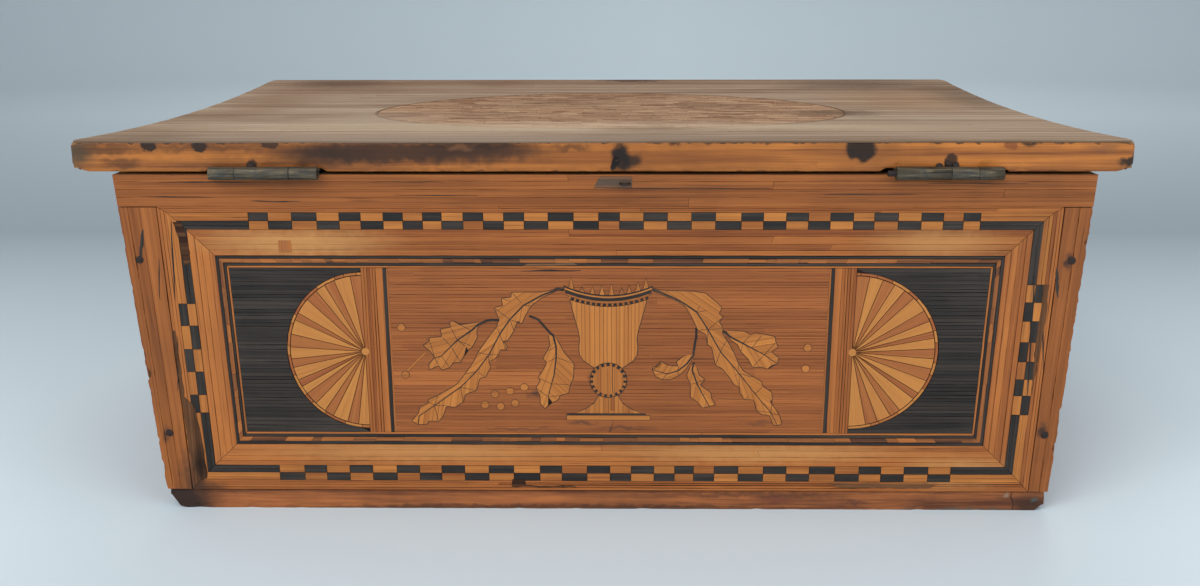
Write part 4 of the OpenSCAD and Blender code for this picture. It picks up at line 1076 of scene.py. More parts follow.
class STRAWBOX_OT_ground(bpy.types.Operator):
    """Red-brown ground of the middle panels"""

    bl_idname = "strawbox.ground"
    bl_label = "Middle panels"

    def execute(self, context):
        smudges = back_stains(2, (48, 42, 42), (
            (-26, 47.5, 3.4, 2.2, 0.7, 0.9), (-8, 36.4, 8, 1.4, 0.6, 0.9), (8, 34.4, 16, 1.2, 0.5, 0.9),
            (-30, 33.6, 20, 1, 0.45, 0.9), (60, 36, 14, 1.3, 0.35, 0.9), (3.2, 33, 0.6, 8, 0.6, 0.9)))
        material = straw_material(
            "Ground straw", "ground_light", "ground_dark", streaks=0.3, fibres=0.25, flecks=0.4,
            soil_strength=0.55, grime=0.2, stains=smudges)
        for side in SIDES:
            inlay = Inlay(side, seed_of(side.name, "ground"))
            inlay.gap *= 0.6
            inlay.dirt = (0.05, 0.1, 0.15, 0.2, 0.5)
            left, right = side.shift - side.middle_half, side.shift + side.middle_half
            v = side.panel_low
            while v < side.panel_high - 0.4:
                step = size_of("ground_splint") * inlay.random.uniform(0.75, 1.3)
                step = min(step, side.panel_high - v)
                self.row(inlay, v, v + step, left, right, side.name)
                v += step
            inlay.side_piece("ground_splints", material, "ground_straw", "middle_panel")
        return {"FINISHED"}

    def row(self, inlay, v0, v1, left, right, name):
        """One row, cut where a lighter or darker run begins or ends."""
        rand = inlay.random
        base = rand.choice((0.38, *(rand.uniform(0.44, 0.58) for _ in range(6))))
        middle = (v0 + v1) / 2
        cuts = {left: base, rand.uniform(left, right): mix(base, rand.uniform(0.4, 0.6), 0.7)}
        for low, high, u0, u1, tones in GROUND_RUNS:
            if not low <= middle < high or name not in ("back", "front"):
                continue
            u0, u1 = max(u0, left), min(u1, right)
            for u in [u for u in cuts if u0 <= u < u1 and u > left]:
                del cuts[u]
            cuts[u0] = rand.uniform(*tones)
            if u1 < right - 1:
                cuts[u1] = base
        places = sorted(cuts)
        for u0, u1 in zip(places, places[1:] + [right]):
            if u1 - u0 > 0.3:
                inlay.splint((u0, v0), (u1, v0), (u0, v1), (u1, v1), cuts[u0])


def grown(name, tree, points, layers, inputs):
    """Plain mesh that a node tree makes from points with named values."""
    seeds = bpy.data.meshes.new(name + "_points")
    seeds.from_pydata(points, [], [])
    for layer, values in layers.items():
        if layer == "tone":
            seeds.attributes.new(layer, "FLOAT", "POINT").data.foreach_set("value", values)
        else:
            data = seeds.attributes.new(layer, "FLOAT_VECTOR", "POINT").data
            data.foreach_set("vector", [x for v in values for x in v])
    holder = add_object(name + "_points", seeds)
    modifier = holder.modifiers.new(tree.name, "NODES")
    modifier.node_group = tree
    for item in tree.interface.items_tree:
        if item.in_out == "INPUT" and item.name in inputs:
            modifier[item.identifier] = inputs[item.name]
    made = bpy.data.meshes.new_from_object(holder.evaluated_get(bpy.context.evaluated_depsgraph_get()))
    made.name = name
    bpy.data.objects.remove(holder)
    return made


class Tiles:
    """Rectangular pieces of one kind, which a node tree sets on a surface."""

    def __init__(self, surface, seed):
        self.surface, self.seed, self.random = surface, seed, random.Random(seed)
        self.points = []
        self.layers = {"along": [], "outward": [], "size": [], "tone": []}

    def add(self, u, v, angle, length, width, tone):
        """A tile at u, v in millimetres, whose length lies at an angle."""
        centre = self.surface.point(u, v)
        ahead = self.surface.point(u + math.cos(angle), v + math.sin(angle)) - centre
        aside = self.surface.point(u - math.sin(angle), v + math.cos(angle)) - centre
        self.points.append(centre)
        self.layers["along"].append(tuple(ahead.normalized()))
        self.layers["outward"].append(tuple(ahead.cross(aside).normalized()))
        self.layers["size"].append((length * MM, width * MM, self.random.uniform(-0.03, 0.03) * MM))
        self.layers["tone"].append(tone)

    def piece(self, name, body, material, slot, *nodes):
        sizes = bpy.context.scene.box_sizes
        mesh = grown(name, tree_of("Inlaid tiles"), self.points, self.layers, {
            "Gap": sizes.gap, "Rounding": sizes.chamfer, "Thickness": SINK * MM, "Seed": self.seed,
            "Material": material})
        return finish_piece(name, mesh, body, material, slot, nodes)


class STRAWBOX_OT_checks(bpy.types.Operator):
    """Two rows of light and dark checks in every border, with their plain corners"""

    bl_idname = "strawbox.checks"
    bl_label = "Checks"

    def execute(self, context):
        light = straw_material("Check straw", "pale_light", "pale_dark", grime=0.35)
        looks = (("light", light, "pale_straw", (0.2, 0.8), 2),
                 ("dark", ebony_material("Ebonised checks"), "ebonised_straw", (0.0, 0.25), 3))
        for side in SIDES:
            runs = {name: self.ends(side, name) for name in ("top", "bottom", "left", "right")}
            for kind, material, slot, tones, arm in looks:
                tiles = Tiles(side, seed_of(side.name, kind))
                inlay = Inlay(side, seed_of(side.name, kind))
                for name, ends in runs.items():
                    self.row(tiles, side, name, ends, kind == "dark", tones)
                for way, column, end in ((-1, "left", 0), (1, "right", -1)):
                    for up, row, stop in ((-1, "bottom", 0), (1, "top", -1)):
                        place = (runs[row][end], runs[column][stop])
                        self.corner(inlay, side, way, up, place, arm, tones)
                node = f"{side.name}_{kind}_checks"
                tiles.piece(node + "_tiles", "body", material, slot, node)
                inlay.piece(node + "_corners", "body", material, slot, node)
        return {"FINISHED"}

    def ends(self, side, name):
        if side is BACK:
            start, lengths = BACK_CHECKS[name]
            return [start + sum(lengths[:i]) for i in range(len(lengths) + 1)]
        if name in ("top", "bottom"):
            up = 1 if name == "top" else -1
            start, end = side.corner(2, -1, up)[0] + CORNER_L, side.corner(2, 1, up)[0] - CORNER_L
        else:
            start, end = side.line_v(2, -1) + CORNER_L, side.line_v(2, 1) - CORNER_L
        run = end - start
        rand = random.Random(seed_of(side.name) + int(run))
        count = 2 * int(run / CHECK_LENGTHS[name] / 2) + 1
        return [start, *(start + run * (i + rand.uniform(-0.07, 0.07)) / count for i in range(1, count)), end]

    def row(self, tiles, side, name, ends, dark, tones):
        for i, (e0, e1) in enumerate(zip(ends, ends[1:])):
            line = 2.5 if (i % 2 == 0) == dark else 3.5
            place = (e0 + e1) / 2
            if name in ("top", "bottom"):
                u, v, angle = place, side.line_v(line, 1 if name == "top" else -1), 0
            else:
                way = 1 if name == "right" else -1
                u, v, angle = side.line_u(line, way, place), place, math.pi / 2 - way * BORDER_LEAN
            tiles.add(u, v, angle, e1 - e0, CHECK_W, tiles.random.uniform(*tones))

    def corner(self, inlay, side, way, up, place, row, tones):
        """Two mitred arms round a corner of a border, from the last checks."""
        u, v = place
        outer, inner = side.corner(row, way, up), side.corner(row + 1, way, up)
        inlay.fill((u, side.line_v(row, up)), outer, (u, side.line_v(row + 1, up)), inner, 1.6, tones)
        inlay.fill((side.line_u(row, way, v), v), outer, (side.line_u(row + 1, way, v), v), inner, 1.6, tones)


class STRAWBOX_OT_fans(bpy.types.Operator):
    """Fans of pale and brown rays in the ebonised panels"""

    bl_idname = "strawbox.fans"
    bl_label = "Fans"

    def execute(self, context):
        material = straw_material("Fan straw", "fan_light", "fan_dark", streaks=0.2, fibres=0.2, flecks=0.25,
                                  grime=0.12)
        for side in SIDES:
            inlay = Inlay(side, seed_of(side.name, "fans"))
            for way in (-1, 1):
                self.fan(inlay, side, way, context.scene.box_sizes.fan_rays)
            inlay.side_piece("fan_rays", material, "fan_straw", "fans")
        return {"FINISHED"}

    def fan(self, inlay, side, way, rays):
        """Rays from a hub to a thin rim, dark and pale in turn."""
        rand = inlay.random
        hub = (side.shift + way * side.fan_u, side.panel_mid)
        half = side.panel_half - FAN_GAP
        reach = side.fan_reach(way)

        def at(angle, share=1.0):
            return (hub[0] + way * reach * math.cos(angle) * share, hub[1] + half * math.sin(angle) * share)

        widths = [rand.uniform(0.65, 1.3) * (0.85 if i % 2 else 1.1) for i in range(rays)]
        angles = [math.pi * (sum(widths[:i]) / sum(widths) - 0.5) for i in range(rays + 1)]
        near = FAN_HUB / reach
        for i, (a0, a1) in enumerate(zip(angles, angles[1:])):
            rim = [at(mix(a0, a1, share), FAN_RIM) for share in (0, 0.25, 0.5, 0.75, 1)]
            middle = at((a0 + a1) / 2)
            angle = math.atan2(middle[1] - hub[1], middle[0] - hub[0])
            tones = (0.12, 0.32) if i % 2 else (0.78, 1.0)
            inlay.tile([at(a0, near), *rim, at(a1, near)], rand.uniform(*tones), angle, gap=0.16)
        place = angles[0]
        while place < angles[-1] - 0.02:
            step = min(rand.uniform(0.1, 0.32), angles[-1] - place)
            ends = [place + step * share for share in (0, 0.5, 1)]
            loop = [at(a, 0.995) for a in ends] + [at(a, FAN_RIM + 0.004) for a in reversed(ends)]
            inlay.tile(loop, rand.choice((0.1, 0.3, 0.8)), place + math.pi / 2, gap=0.16)
            place += step
        inlay.tile(circle(hub, FAN_HUB, 20), 0.85, 0.6, 0.1, SHALLOW, gap=0)


# Oak sprays from the urn's middle, in millimetres. Each leaf has its midrib from the stalk to the tip, the
# outline on its two sides in the same order, and the angles at which the straw of each side lies.
LEFT_SPRAY = [
    ([(-16.4, 24.4), (-18.5, 24.7), (-21.4, 23.4), (-24.5, 22.2), (-31.3, 18.3), (-36.5, 12.8), (-40.4, 7),
      (-44.7, -1.2), (-49.5, -7.7), (-55.8, -14.2), (-65.9, -21.6), (-72, -26), (-72.5, -29.3)],
     [(-16.4, 24.9), (-18.5, 25.1), (-21.5, 23.9), (-25.5, 23.3), (-35.6, 23.3), (-35.8, 21.4), (-39.4, 20.9),
      (-38.9, 18.1), (-42.1, 17.3), (-40.5, 13), (-41.3, 10), (-45.7, 4.1), (-48.6, -0.2), (-50.5, -4.1),
      (-53.8, -8.9), (-57.2, -13.2), (-64.4, -17.5), (-68.4, -19.4), (-67.6, -20.4), (-71.5, -22.4),
      (-71.9, -24.5), (-74.8, -28)],
     [(-16.4, 24), (-18.5, 24.2), (-21.3, 22.9), (-24.5, 21.4), (-28.6, 18.1), (-30.8, 14.2), (-32.2, 11.1),
      (-33.7, 12.3), (-35.1, 8.4), (-37.5, 4.6), (-39.4, 4.2), (-37.8, 2.5), (-38.1, 0.8), (-40.3, 1),
      (-41, -1), (-43, -3.1), (-45, -3.8), (-44.1, -6), (-46.2, -10), (-48.5, -10.6), (-49.8, -15.4),
      (-54.1, -17), (-54.9, -20), (-58.2, -22.3), (-61.3, -21.7), (-63, -26.2), (-64.6, -28), (-68.3, -27.9),
      (-69.2, -29.3)], 35, 80),
    ([(-48.3, 10.8), (-51, 8.4), (-56.3, 4.6), (-58.7, 2.2), (-62.5, -1.7), (-65, -2.4)],
     [(-48.3, 11.6), (-54.8, 10.6), (-57.7, 12.2), (-58.9, 11.6), (-58.5, 9.6), (-62.4, 9), (-62, 5.9),
      (-66.8, 5.5), (-66.6, 4.1), (-69.2, 2.6), (-66.3, 0)],
     [(-49, 7.6), (-48.7, 6), (-50.7, 2.2), (-52.4, 0.7), (-53.1, 2), (-53.9, -1.4), (-55.5, -4.2),
      (-58.1, -4.2), (-59.6, -6.2), (-62.4, -7.3), (-63.6, -5.4), (-67.2, -7.1), (-67.3, -4.8)], 15, 60),
    ([(-20.6, 7), (-19.5, 2.2), (-19.5, -2.1), (-20.4, -9.3), (-21.4, -12.7), (-22.7, -18)],
     [(-22.2, 6.5), (-21.6, 2.7), (-22.8, 0.3), (-24.4, -2.6), (-22.9, -4.2), (-24.5, -7.4), (-26.4, -10.3),
      (-25.4, -11.4), (-27.2, -14.4), (-25.7, -17.5), (-25.7, -20.6), (-24, -22.7), (-22.8, -21.4)],
     [(-19.2, 5.1), (-16.6, -0.2), (-12.9, -4.6), (-13.1, -10.3), (-14.4, -13), (-15, -16.4), (-18.4, -17.4),
      (-19, -19.2), (-21.2, -20.2)], 70, -45),
]
RIGHT_SPRAY = [
    ([(16.4, 24.5), (18.4, 23.8), (22.1, 22.1), (24.5, 21.1), (28.8, 18.5), (32.7, 15.7), (37, 8.9),
      (41.8, 0.3), (49, -8.4), (55.3, -16.6), (61.5, -24.2), (64.2, -29.5)],
     [(16.4, 25), (18.6, 24.3), (22, 24), (31.7, 23.7), (35.6, 23.1), (40.1, 19.3), (41.9, 17.5),
      (40.9, 15.2), (42.4, 13.8), (41, 11.9), (42.5, 9.5), (42.3, 7.3), (44, 4.8), (47.1, -0.7), (48.6, -4.5),
      (50.5, -7.4), (54.3, -9.8), (57.5, -11.6), (58, -13.6), (61.4, -15.8), (61.8, -19), (60.9, -19.6),
      (64.7, -25.2), (65.7, -28.6)],
     [(16.4, 24), (18.2, 23.3), (22, 21.6), (24.8, 20.4), (28.4, 18.1), (31, 13.7), (33.2, 8.9), (36.4, 6.9),
      (36.9, 3.3), (38.6, 2), (40.1, -5), (42.8, -6.5), (45.7, -10.3), (47.4, -12.9), (49.3, -13.8),
      (49.6, -16.2), (51.2, -18.8), (55, -19), (56, -23.3), (58.2, -25), (61.1, -25.3), (62.5, -29.1)],
     -35, -70),
    ([(44.6, 6.8), (46.2, 5.6), (50, 3.6), (53.4, 1.7), (58.2, -0.9), (63, -4.5)],
     [(43.8, 8.7), (50.5, 8.2), (52.9, 7), (54.6, 7.6), (57.3, 7.2), (61.9, 6.2), (62.2, 4), (63.2, 2.2),
      (60.6, 0.2), (63.6, -2.1)],
     [(45.9, 4.6), (48.1, 3.2), (49.5, 0.3), (52.3, -2.6), (54, -5.8), (57.5, -5.8), (59.6, -6.6),
      (60.8, -5.2)], 10, -60),
    ([(32, -0.8), (29.5, -4.4), (26, -7.4), (22, -8.6), (16.6, -7)],
     [(28.8, -1.2), (25.5, -3.8), (26.3, -5.6), (22.1, -5.2), (19.6, -3.6), (19.4, -5.8), (16.8, -5.8)],
     [(31.3, -3), (28.8, -6.9), (26.4, -9.3), (23.1, -10.9), (20.2, -10.9), (17.8, -9.6)], 60, 20),
    ([(32, -4), (31.4, -7), (33.2, -12.2), (35.6, -17), (38.2, -21.6)],
     [(30.7, -5.8), (29.4, -9.2), (31, -12.8), (31, -18), (33.7, -19.9), (35.6, -22.3)],
     [(33.2, -6.5), (33.9, -9), (36.2, -10.8), (34.4, -13.1), (38.5, -16.1), (38.9, -18.5), (40.4, -21)],
     80, -50),
]
STALKS = (
    ((-40.4, 12.4), (-42.8, 12.6), (-45.2, 12.3), (-47.1, 11.3), (-48.6, 10.4)),
    ((-29.3, 14.2), (-26, 12.8), (-23.6, 9.9), (-21.6, 7.5), (-20.6, 6.6)),
    ((32.6, 9.4), (32.7, 6), (32.2, 3.2), (31.8, -0.6)), ((42.4, 8.5), (44.6, 6.8)),
    ((-68.5, -0.4), (-75.6, -7.6)),
)
BERRIES = ((-77, 9.6), (-76.3, -9.2), (-42.8, -16.9), (-37.1, -15.7), (-31.7, -14.1), (-46.7, -21.3),
           (-40.8, -21.9), (-35.3, -20.6), (74.2, 1.8), (73.8, -6.4))
BERRY_R = 1.5

# The urn from its middle: right half of the cup and foot, rim, spikes as place and height, and ring
CUP = ((14.2, 20.6), (13.2, 16.5), (12.2, 12.6), (11.1, 8.6), (10.6, 5.4), (10.9, 1.8), (10.7, -1),
       (9.4, -3.2), (6.8, -5.2), (4.8, -6.6))
FOOT = ((3.6, -17.4), (5.4, -20.6), (8.4, -22.8), (12.8, -24.6))
RIM_HALF, RIM_HIGH, RIM_DIP = 16.4, 26, 3.6
SPIKES = ((-13.7, 4.4), (-9.7, 1.6), (-5.8, 2.7), (-2.3, 3.3), (1.1, 4.3), (5, 2.4), (7.7, 2.8),
          (10.9, 3.4), (13.9, 3.8))
RING_Z, RING_R, RING_BEADS = -11.2, 6.9, 19
SLAB_HALF, SLAB_TOP, SLAB_LOW = 15.8, -25.5, -27.3
MOTIF_LIFT = 0.12


def softer(line):
    """The line with each of its inner corners cut into two."""
    return [mix(a, b, share) for a, b in zip(line, line[1:]) for share in (0.1, 0.9)]


def aside(place, way, distance):
    """The place moved to the left of a way."""
    return (place[0] - way[1] * distance, place[1] + way[0] * distance)


def mirrored(half):
    """A right half with its left half after it."""
    return [*half, *((-u, v) for u, v in reversed(half))]


class Motif:
    """Pale and dark straw of an ornament in a side's middle panel."""

    def __init__(self, side, name):
        self.side = side
        self.pale = Inlay(side, seed_of(side.name, name, "pale"))
        self.dark = Inlay(side, seed_of(side.name, name, "dark"))
        self.pale.random.seed(seed_of(name))

    def put(self, points):
        return [(self.side.shift + u, self.side.panel_mid + v) for u, v in points]

    def backed(self, loop, outline, lift):
        """Dark straw under a shape, which shows as its outline."""
        self.dark.tile(shrunk(tidy_loop(loop), -outline), 0.1, 0, lift - 0.06, SHALLOW, 0, 0.02)

    def shape(self, points, angle, pitch, tones, outline=0.22, lift=MOTIF_LIFT):
        """A shape of splints with a dark outline under it."""
        loop = self.put(points)
        self.pale.splinted(loop, math.radians(angle), pitch, tones, lift)
        if outline:
            self.backed(loop, outline, lift)

    def line(self, points, width, tone, dark=True, lift=MOTIF_LIFT + 0.05, end_width=None):
        """A ribbon along points, which may taper."""
        points = self.put(points)
        inlay = self.dark if dark else self.pale
        sides = [[], []]
        for i, here in enumerate(points):
            before, after = points[max(0, i - 1)], points[min(len(points) - 1, i + 1)]
            way = unit(after[0] - before[0], after[1] - before[1])
            half = mix(width, width if end_width is None else end_width, i / (len(points) - 1)) / 2
            for edge, distance in zip(sides, (half, -half)):
                edge.append(aside(here, way, distance))
        inlay.tile(sides[0] + sides[1][::-1], tone, 0, lift, SHALLOW, 0, 0.02)

    def pieces(self, word, node, pale_material, dark_material):
        """Makes both meshes of the ornament."""
        self.pale.side_piece(word + "_straw", pale_material, "pale_straw", node)
        self.dark.side_piece(word + "_lines", dark_material, "ebonised_straw", node)


class STRAWBOX_OT_ornament(bpy.types.Operator):
    """Urn and oak sprays of the back and front"""

    bl_idname = "strawbox.ornament"
    bl_label = "Urn and oak sprays"

    def execute(self, context):
        pale = straw_material("Ornament straw", "pale_light", "pale_dark", streaks=0.3, fibres=0.25,
                              flecks=0.3, soil_strength=0.6, grime=0.12)
        dark = ebony_material("Ornament lines")
        for side in SIDES[:2]:
            motif = Motif(side, "sprays")
            for leaf in LEFT_SPRAY + RIGHT_SPRAY:
                self.leaf(motif, *leaf)
            for stalk in STALKS[:4]:
                motif.line(stalk, 0.8, 0.2)
            motif.line(STALKS[4], 0.35, 0.9, dark=False)
            for berry in BERRIES:
                motif.shape(circle(berry, BERRY_R, 12), 0, 4, (0.4, 0.7), 0.12)
            motif.pieces("spray", "oak_sprays", pale, dark)
            motif = Motif(side, "urn")
            self.urn(motif)
            motif.pieces("urn", "urn", pale, dark)
        return {"FINISHED"}

    def leaf(self, motif, rib, upper, lower, upper_angle, lower_angle):
        """Two halves of straw on either side of a dark midrib."""
        whole = softer([*upper, rib[-1], *lower[::-1], upper[0]])
        motif.backed(motif.put(whole), 0.22, MOTIF_LIFT)
        for edge, angle in ((upper, upper_angle), (lower, lower_angle)):
            motif.shape(rib + [edge[0], *softer(edge), edge[-1]][::-1], angle, 2.2, (0.5, 0.85), 0)
            for notch in edge[2:-1:2]:
                start = min(rib, key=lambda p: math.dist(p, notch))
                if math.dist(start, notch) > 1.6:
                    motif.line([mix(start, notch, 0.05), mix(start, notch, 0.92)], 0.2, 0.1,
                               lift=MOTIF_LIFT + 0.02)
        motif.line(rib, 0.75, 0.15, end_width=0.25)

    def urn(self, motif):
        def rim(u, drop=0.0):
            return (u, RIM_HIGH - RIM_DIP * (1 - (u / RIM_HALF) ** 2) - drop)

        us = [RIM_HALF * (i / 8 - 1) for i in range(17)]
        for u, height in SPIKES:
            base = rim(u)[1]
            spike = [(u - 1.1, base - 0.6), (u + 1.1, base - 0.6), (u, base + height)]
            motif.shape(spike, 90, 3, (0.2, 0.7), 0.2)
        top = [rim(u * 0.86, 4.6) for u in us]
        motif.shape(mirrored(CUP[1:]) + top, 90, 1.5, (0.62, 0.92))
        band = [*(rim(u, 0.2) for u in us), *(rim(u * 0.93, 3.4) for u in reversed(us))]
        motif.shape(band, 0, 1.2, (0.1, 0.3), 0.1, MOTIF_LIFT + 0.03)
        for drop, width, tone in ((0.35, 0.5, 0.0), (0.95, 0.5, 0.8), (1.9, 1.2, 0.0)):
            stripe = [rim(u * (1 - 0.02 * drop), drop) for u in us]
            motif.line(stripe, width, tone, tone < 0.5, MOTIF_LIFT + 0.08)
        self.beads(motif, [rim(u * 0.9, 3.9) for u in us], 1.15, 15)
        knop = (0, RING_Z)
        motif.shape(circle(knop, RING_R, 48), 90, 2.6, (0.3, 0.7), 0.1, MOTIF_LIFT + 0.05)
        self.beads(motif, circle(knop, RING_R - 0.6, 48, True), 1.2, RING_BEADS, MOTIF_LIFT + 0.1)
        motif.line(circle(knop, RING_R, 48, True), 0.35, 0.0, lift=MOTIF_LIFT + 0.1)
        joint = [(1.6, RING_Z + 5.3), (1.5, RING_Z), (1.7, RING_Z - 5.3)]
        motif.line(joint, 0.25, 0.0, lift=MOTIF_LIFT + 0.09)
        motif.shape(mirrored(FOOT), 90, 1.9, (0.35, 0.8))
        motif.shape([(0.7, -18.2), (0.7, -23.6), (2.4, -23.6), (2.4, -18.2)], 90, 3, (0.0, 0.05), 0.1,
                    MOTIF_LIFT + 0.04)
        slab = [(-SLAB_HALF, SLAB_LOW), (SLAB_HALF, SLAB_LOW), (SLAB_HALF, SLAB_TOP), (-SLAB_HALF, SLAB_TOP)]
        motif.shape(slab, 0, 3, (0.5, 0.8), 0.15)
        motif.line([(-SLAB_HALF, SLAB_TOP + 0.4), (SLAB_HALF - 1.6, SLAB_TOP + 0.4)], 0.7, 0.1)

    def beads(self, motif, path, width, count, lift=MOTIF_LIFT + 0.08):
        """Square beads in turn pale and dark along a path."""
        steps = [0.0]
        for a, b in zip(path, path[1:]):
            steps.append(steps[-1] + math.dist(a, b))

        def at(distance):
            i = max(k for k in range(len(path) - 1) if steps[k] <= distance)
            return mix(path[i], path[i + 1], (distance - steps[i]) / (steps[i + 1] - steps[i]))

        half = width / 2
        for k in range(2 * count):
            inlay, tone, before, after = (motif.dark, 0.05, 0, 1.25) if k % 2 else (motif.pale, 0.3, 0.25, 1)
            a = at(steps[-1] * (k + before) / (2 * count))
            b = at(steps[-1] * (k + after) / (2 * count + 0.3))
            way = unit(b[0] - a[0], b[1] - a[1])
            loop = [aside(a, way, half), aside(a, way, -half), aside(b, way, -half), aside(b, way, half)]
            inlay.tile(motif.put(loop), tone, 0, lift, SHALLOW, 0.05, 0.05)


# Boards, lid and metal

# How far the worn corners of the base reach along it; the one at the back's left reaches furthest.
# A worn corner is rounded upwards by a share of that reach
BASE_REACH = 4
BASE_LONG_REACH = 9
BASE_ROUNDING = 0.6
# How far short of the lid's front its rows end, and the gap that they leave round the oval
ROW_PLAY = 0.03
OVAL_PLAY = 0.6
# How far the lid's edge hangs lower, the height at which that fades out, and its distance from the pins
LIP_DROP = 1.2
LIP_FADE = 4
PIN_CLEARANCE = 1.4


def box_mm(node):
    """Corners of a node's box in millimetres."""
    return [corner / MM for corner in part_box(node)]


def stain(place, radii, colour, strength, softness):
    """One stain from millimetres and a screen colour."""
    return (tuple(x * MM for x in place), tuple(r * MM for r in radii), srgb(*colour), strength, softness)


def rings(loops, closed=False):
    """Faces between loops of equal length, capped at both ends or closed into a ring."""
    count = len(loops[0])
    points = [p for loop in loops for p in loop]
    faces = []
    for k in range(len(loops) if closed else len(loops) - 1):
        here, there = k * count, (k + 1) % len(loops) * count
        faces += [(here + i, here + (i + 1) % count, there + (i + 1) % count, there + i)
                  for i in range(count)]
    if not closed:
        faces += [tuple(reversed(range(count))), tuple(range(len(points) - count, len(points)))]
    return points, faces


def perimeter(low, high, radius, step):
    """Points and outward ways round a box with rounded corners, seen from above, in millimetres."""
    made = []
    corners = [((high.x - radius, low.y + radius), -90), ((high.x - radius, high.y - radius), 0),
               ((low.x + radius, high.y - radius), 90), ((low.x + radius, low.y + radius), 180)]
    for i, ((cx, cy), start) in enumerate(corners):
        for turn in (0, 30, 60, 90):
            angle = math.radians(start + turn)
            way = (math.cos(angle), math.sin(angle))
            made.append(((cx + radius * way[0], cy + radius * way[1]), way))
        (nx, ny), _ = corners[(i + 1) % 4]
        here, way = made[-1]
        there = (nx + radius * way[0], ny + radius * way[1])
        count = max(2, round(math.dist(here, there) / step))
        made += [(mix(here, there, j / count), way) for j in range(1, count)]
    return made


def wear(place, scale, seed):
    """Smooth random value from 0 to 1 at a place in millimetres."""
    return 0.5 + 0.5 * noise.noise(Vector(place) / scale + Vector((seed, 0, 0)))


def chips(place, depth, seed):
    """Depth of the chips along an arris: mostly none, here and there one."""
    value = wear(place, 7, seed) * 0.6 + wear(place, 2.3, seed + 5) * 0.4
    return depth * max(0.0, value - 0.56) / 0.44


class STRAWBOX_OT_boards(bpy.types.Operator):
    """Side boards, and the worn bottom board"""

    bl_idname = "strawbox.boards"
    bl_label = "Boards"

    def execute(self, context):
        worn = [stain((190 * x, 139.5 * y, 135), (7, 7, 6), (44, 32, 26), 0.95, 0.4)
                for x in (-1, 1) for y in (-1, 1)]
        for node, along, stains in (("back_wall", "x", ()), ("front_wall", "x", ()), ("left_wall", "y", ()),
                                    ("right_wall", "y", ()), ("lid_board", "x", worn)):
            material = wood_material("Board of " + node, "pine_light", "pine_dark", along, stains=stains)
            self.glued(material, node == "lid_board")
            refinish(node, material)
        self.bottom()
        return {"FINISHED"}

    def glued(self, material, lid):
        """Dark glue where a board carries the straw."""
        tree = material.node_tree
        base = next(n for n in tree.nodes if n.type == "BSDF_PRINCIPLED").inputs["Base Color"]
        given = put(tree, "ShaderNodeTexCoord").outputs
        if lid:
            facing = separate(tree, given["Normal"])[2]
        else:
            level = vector_maths(tree, "MULTIPLY", given["Object"], (1, 1, 0))
            facing = put(tree, "ShaderNodeVectorMath", {0: level, 1: given["Normal"]},
                         operation="DOT_PRODUCT").outputs["Value"]
        mask = maths(tree, "GREATER_THAN", facing, 0.03)
        tree.links.new(blend_colour(tree, mask, base.links[0].from_socket, shade("soil")), base)

    def bottom(self):
        low, high = box_mm("bottom_board")
        path = perimeter(low, high, 1.2, 2.5)
        loops = []
        height = high.z - low.z
        for inset, z in ((0.12, 0), (0.04, 0.12), (0, 0.5), (0, 2.2), (0, 4), (0, 6), (0.1, 7.3),
                         (0.5, 7.9), (1.2, 8.0)):
            loop = []
            for (x, y), way in path:
                lean = (height - z) * 0.01
                edge = min(z, height - z) < 1
                stray = 0.35 * (wear((x, y, z * 2), 9, 3) - 0.5) + (chips((x, y, z), 1.6, 8) if edge else 0)
                back = inset + lean + max(-0.1, stray)
                reach = BASE_LONG_REACH if x < 0 and y < 0 else BASE_REACH
                corner = max(0, abs(x) - high.x + reach) / reach * max(0, abs(y) - high.y + 6) / 6
                lift = reach * BASE_ROUNDING * (1 - math.sqrt(max(0, 1 - corner ** 2)))
                loop.append(Vector((x - way[0] * back, y - way[1] * back, max(z, lift + 0.02 * z))) * MM)
            loops.append(loop)
        material = wood_material("Bottom board", "base_light", "base_dark", contrast=1.0, lines=0.6,
                                 grime=0.75, grime_colour=srgb(40, 28, 24), stains=base_stains_and_shadow(), bump=0.0001)
        make_piece("worn_bottom_board", *rings(loops), "body", material, "base_board",
                   ("bottom_board",))


def base_stains_and_shadow():
    """Dark worn corners, chips at the right end, and a painted shadow along the foot where the base meets the
    floor.
    """
    dark = (38, 29, 25)
    return [stain((x, -127.5, z), radii, colour, strength, softness)
            for x, z, radii, colour, strength, softness in (
                (-168, 2, (24, 12, 12), dark, 0.92, 0.6), (68, 4, (13, 10, 3), (92, 46, 40), 0.6, 0.8),
                (99, 3, (7, 10, 1.2), (84, 46, 40), 0.6, 0.8),
                (140, 0, (30, 10, 1.6), (84, 76, 66), 0.7, 0.6), (166, 1, (9, 10, 9), dark, 0.7, 0.8),
                (157, 6.2, (1.6, 6, 1), (150, 146, 128), 0.5, 0.8),
                (167.5, 4.5, (1.8, 6, 1.8), (74, 98, 98), 0.6, 0.8), (159, 4, (0.4, 6, 9), dark, 0.8, 0.5),
                # The first stain here is painted shadow: a dark line along the foot of the base, where it
                # stands on the floor.
                (-20, 0, (140, 4, 2.2), dark, 0.55, 0.6), (60, 6, (50, 4, 1.6), dark, 0.4, 0.7))]


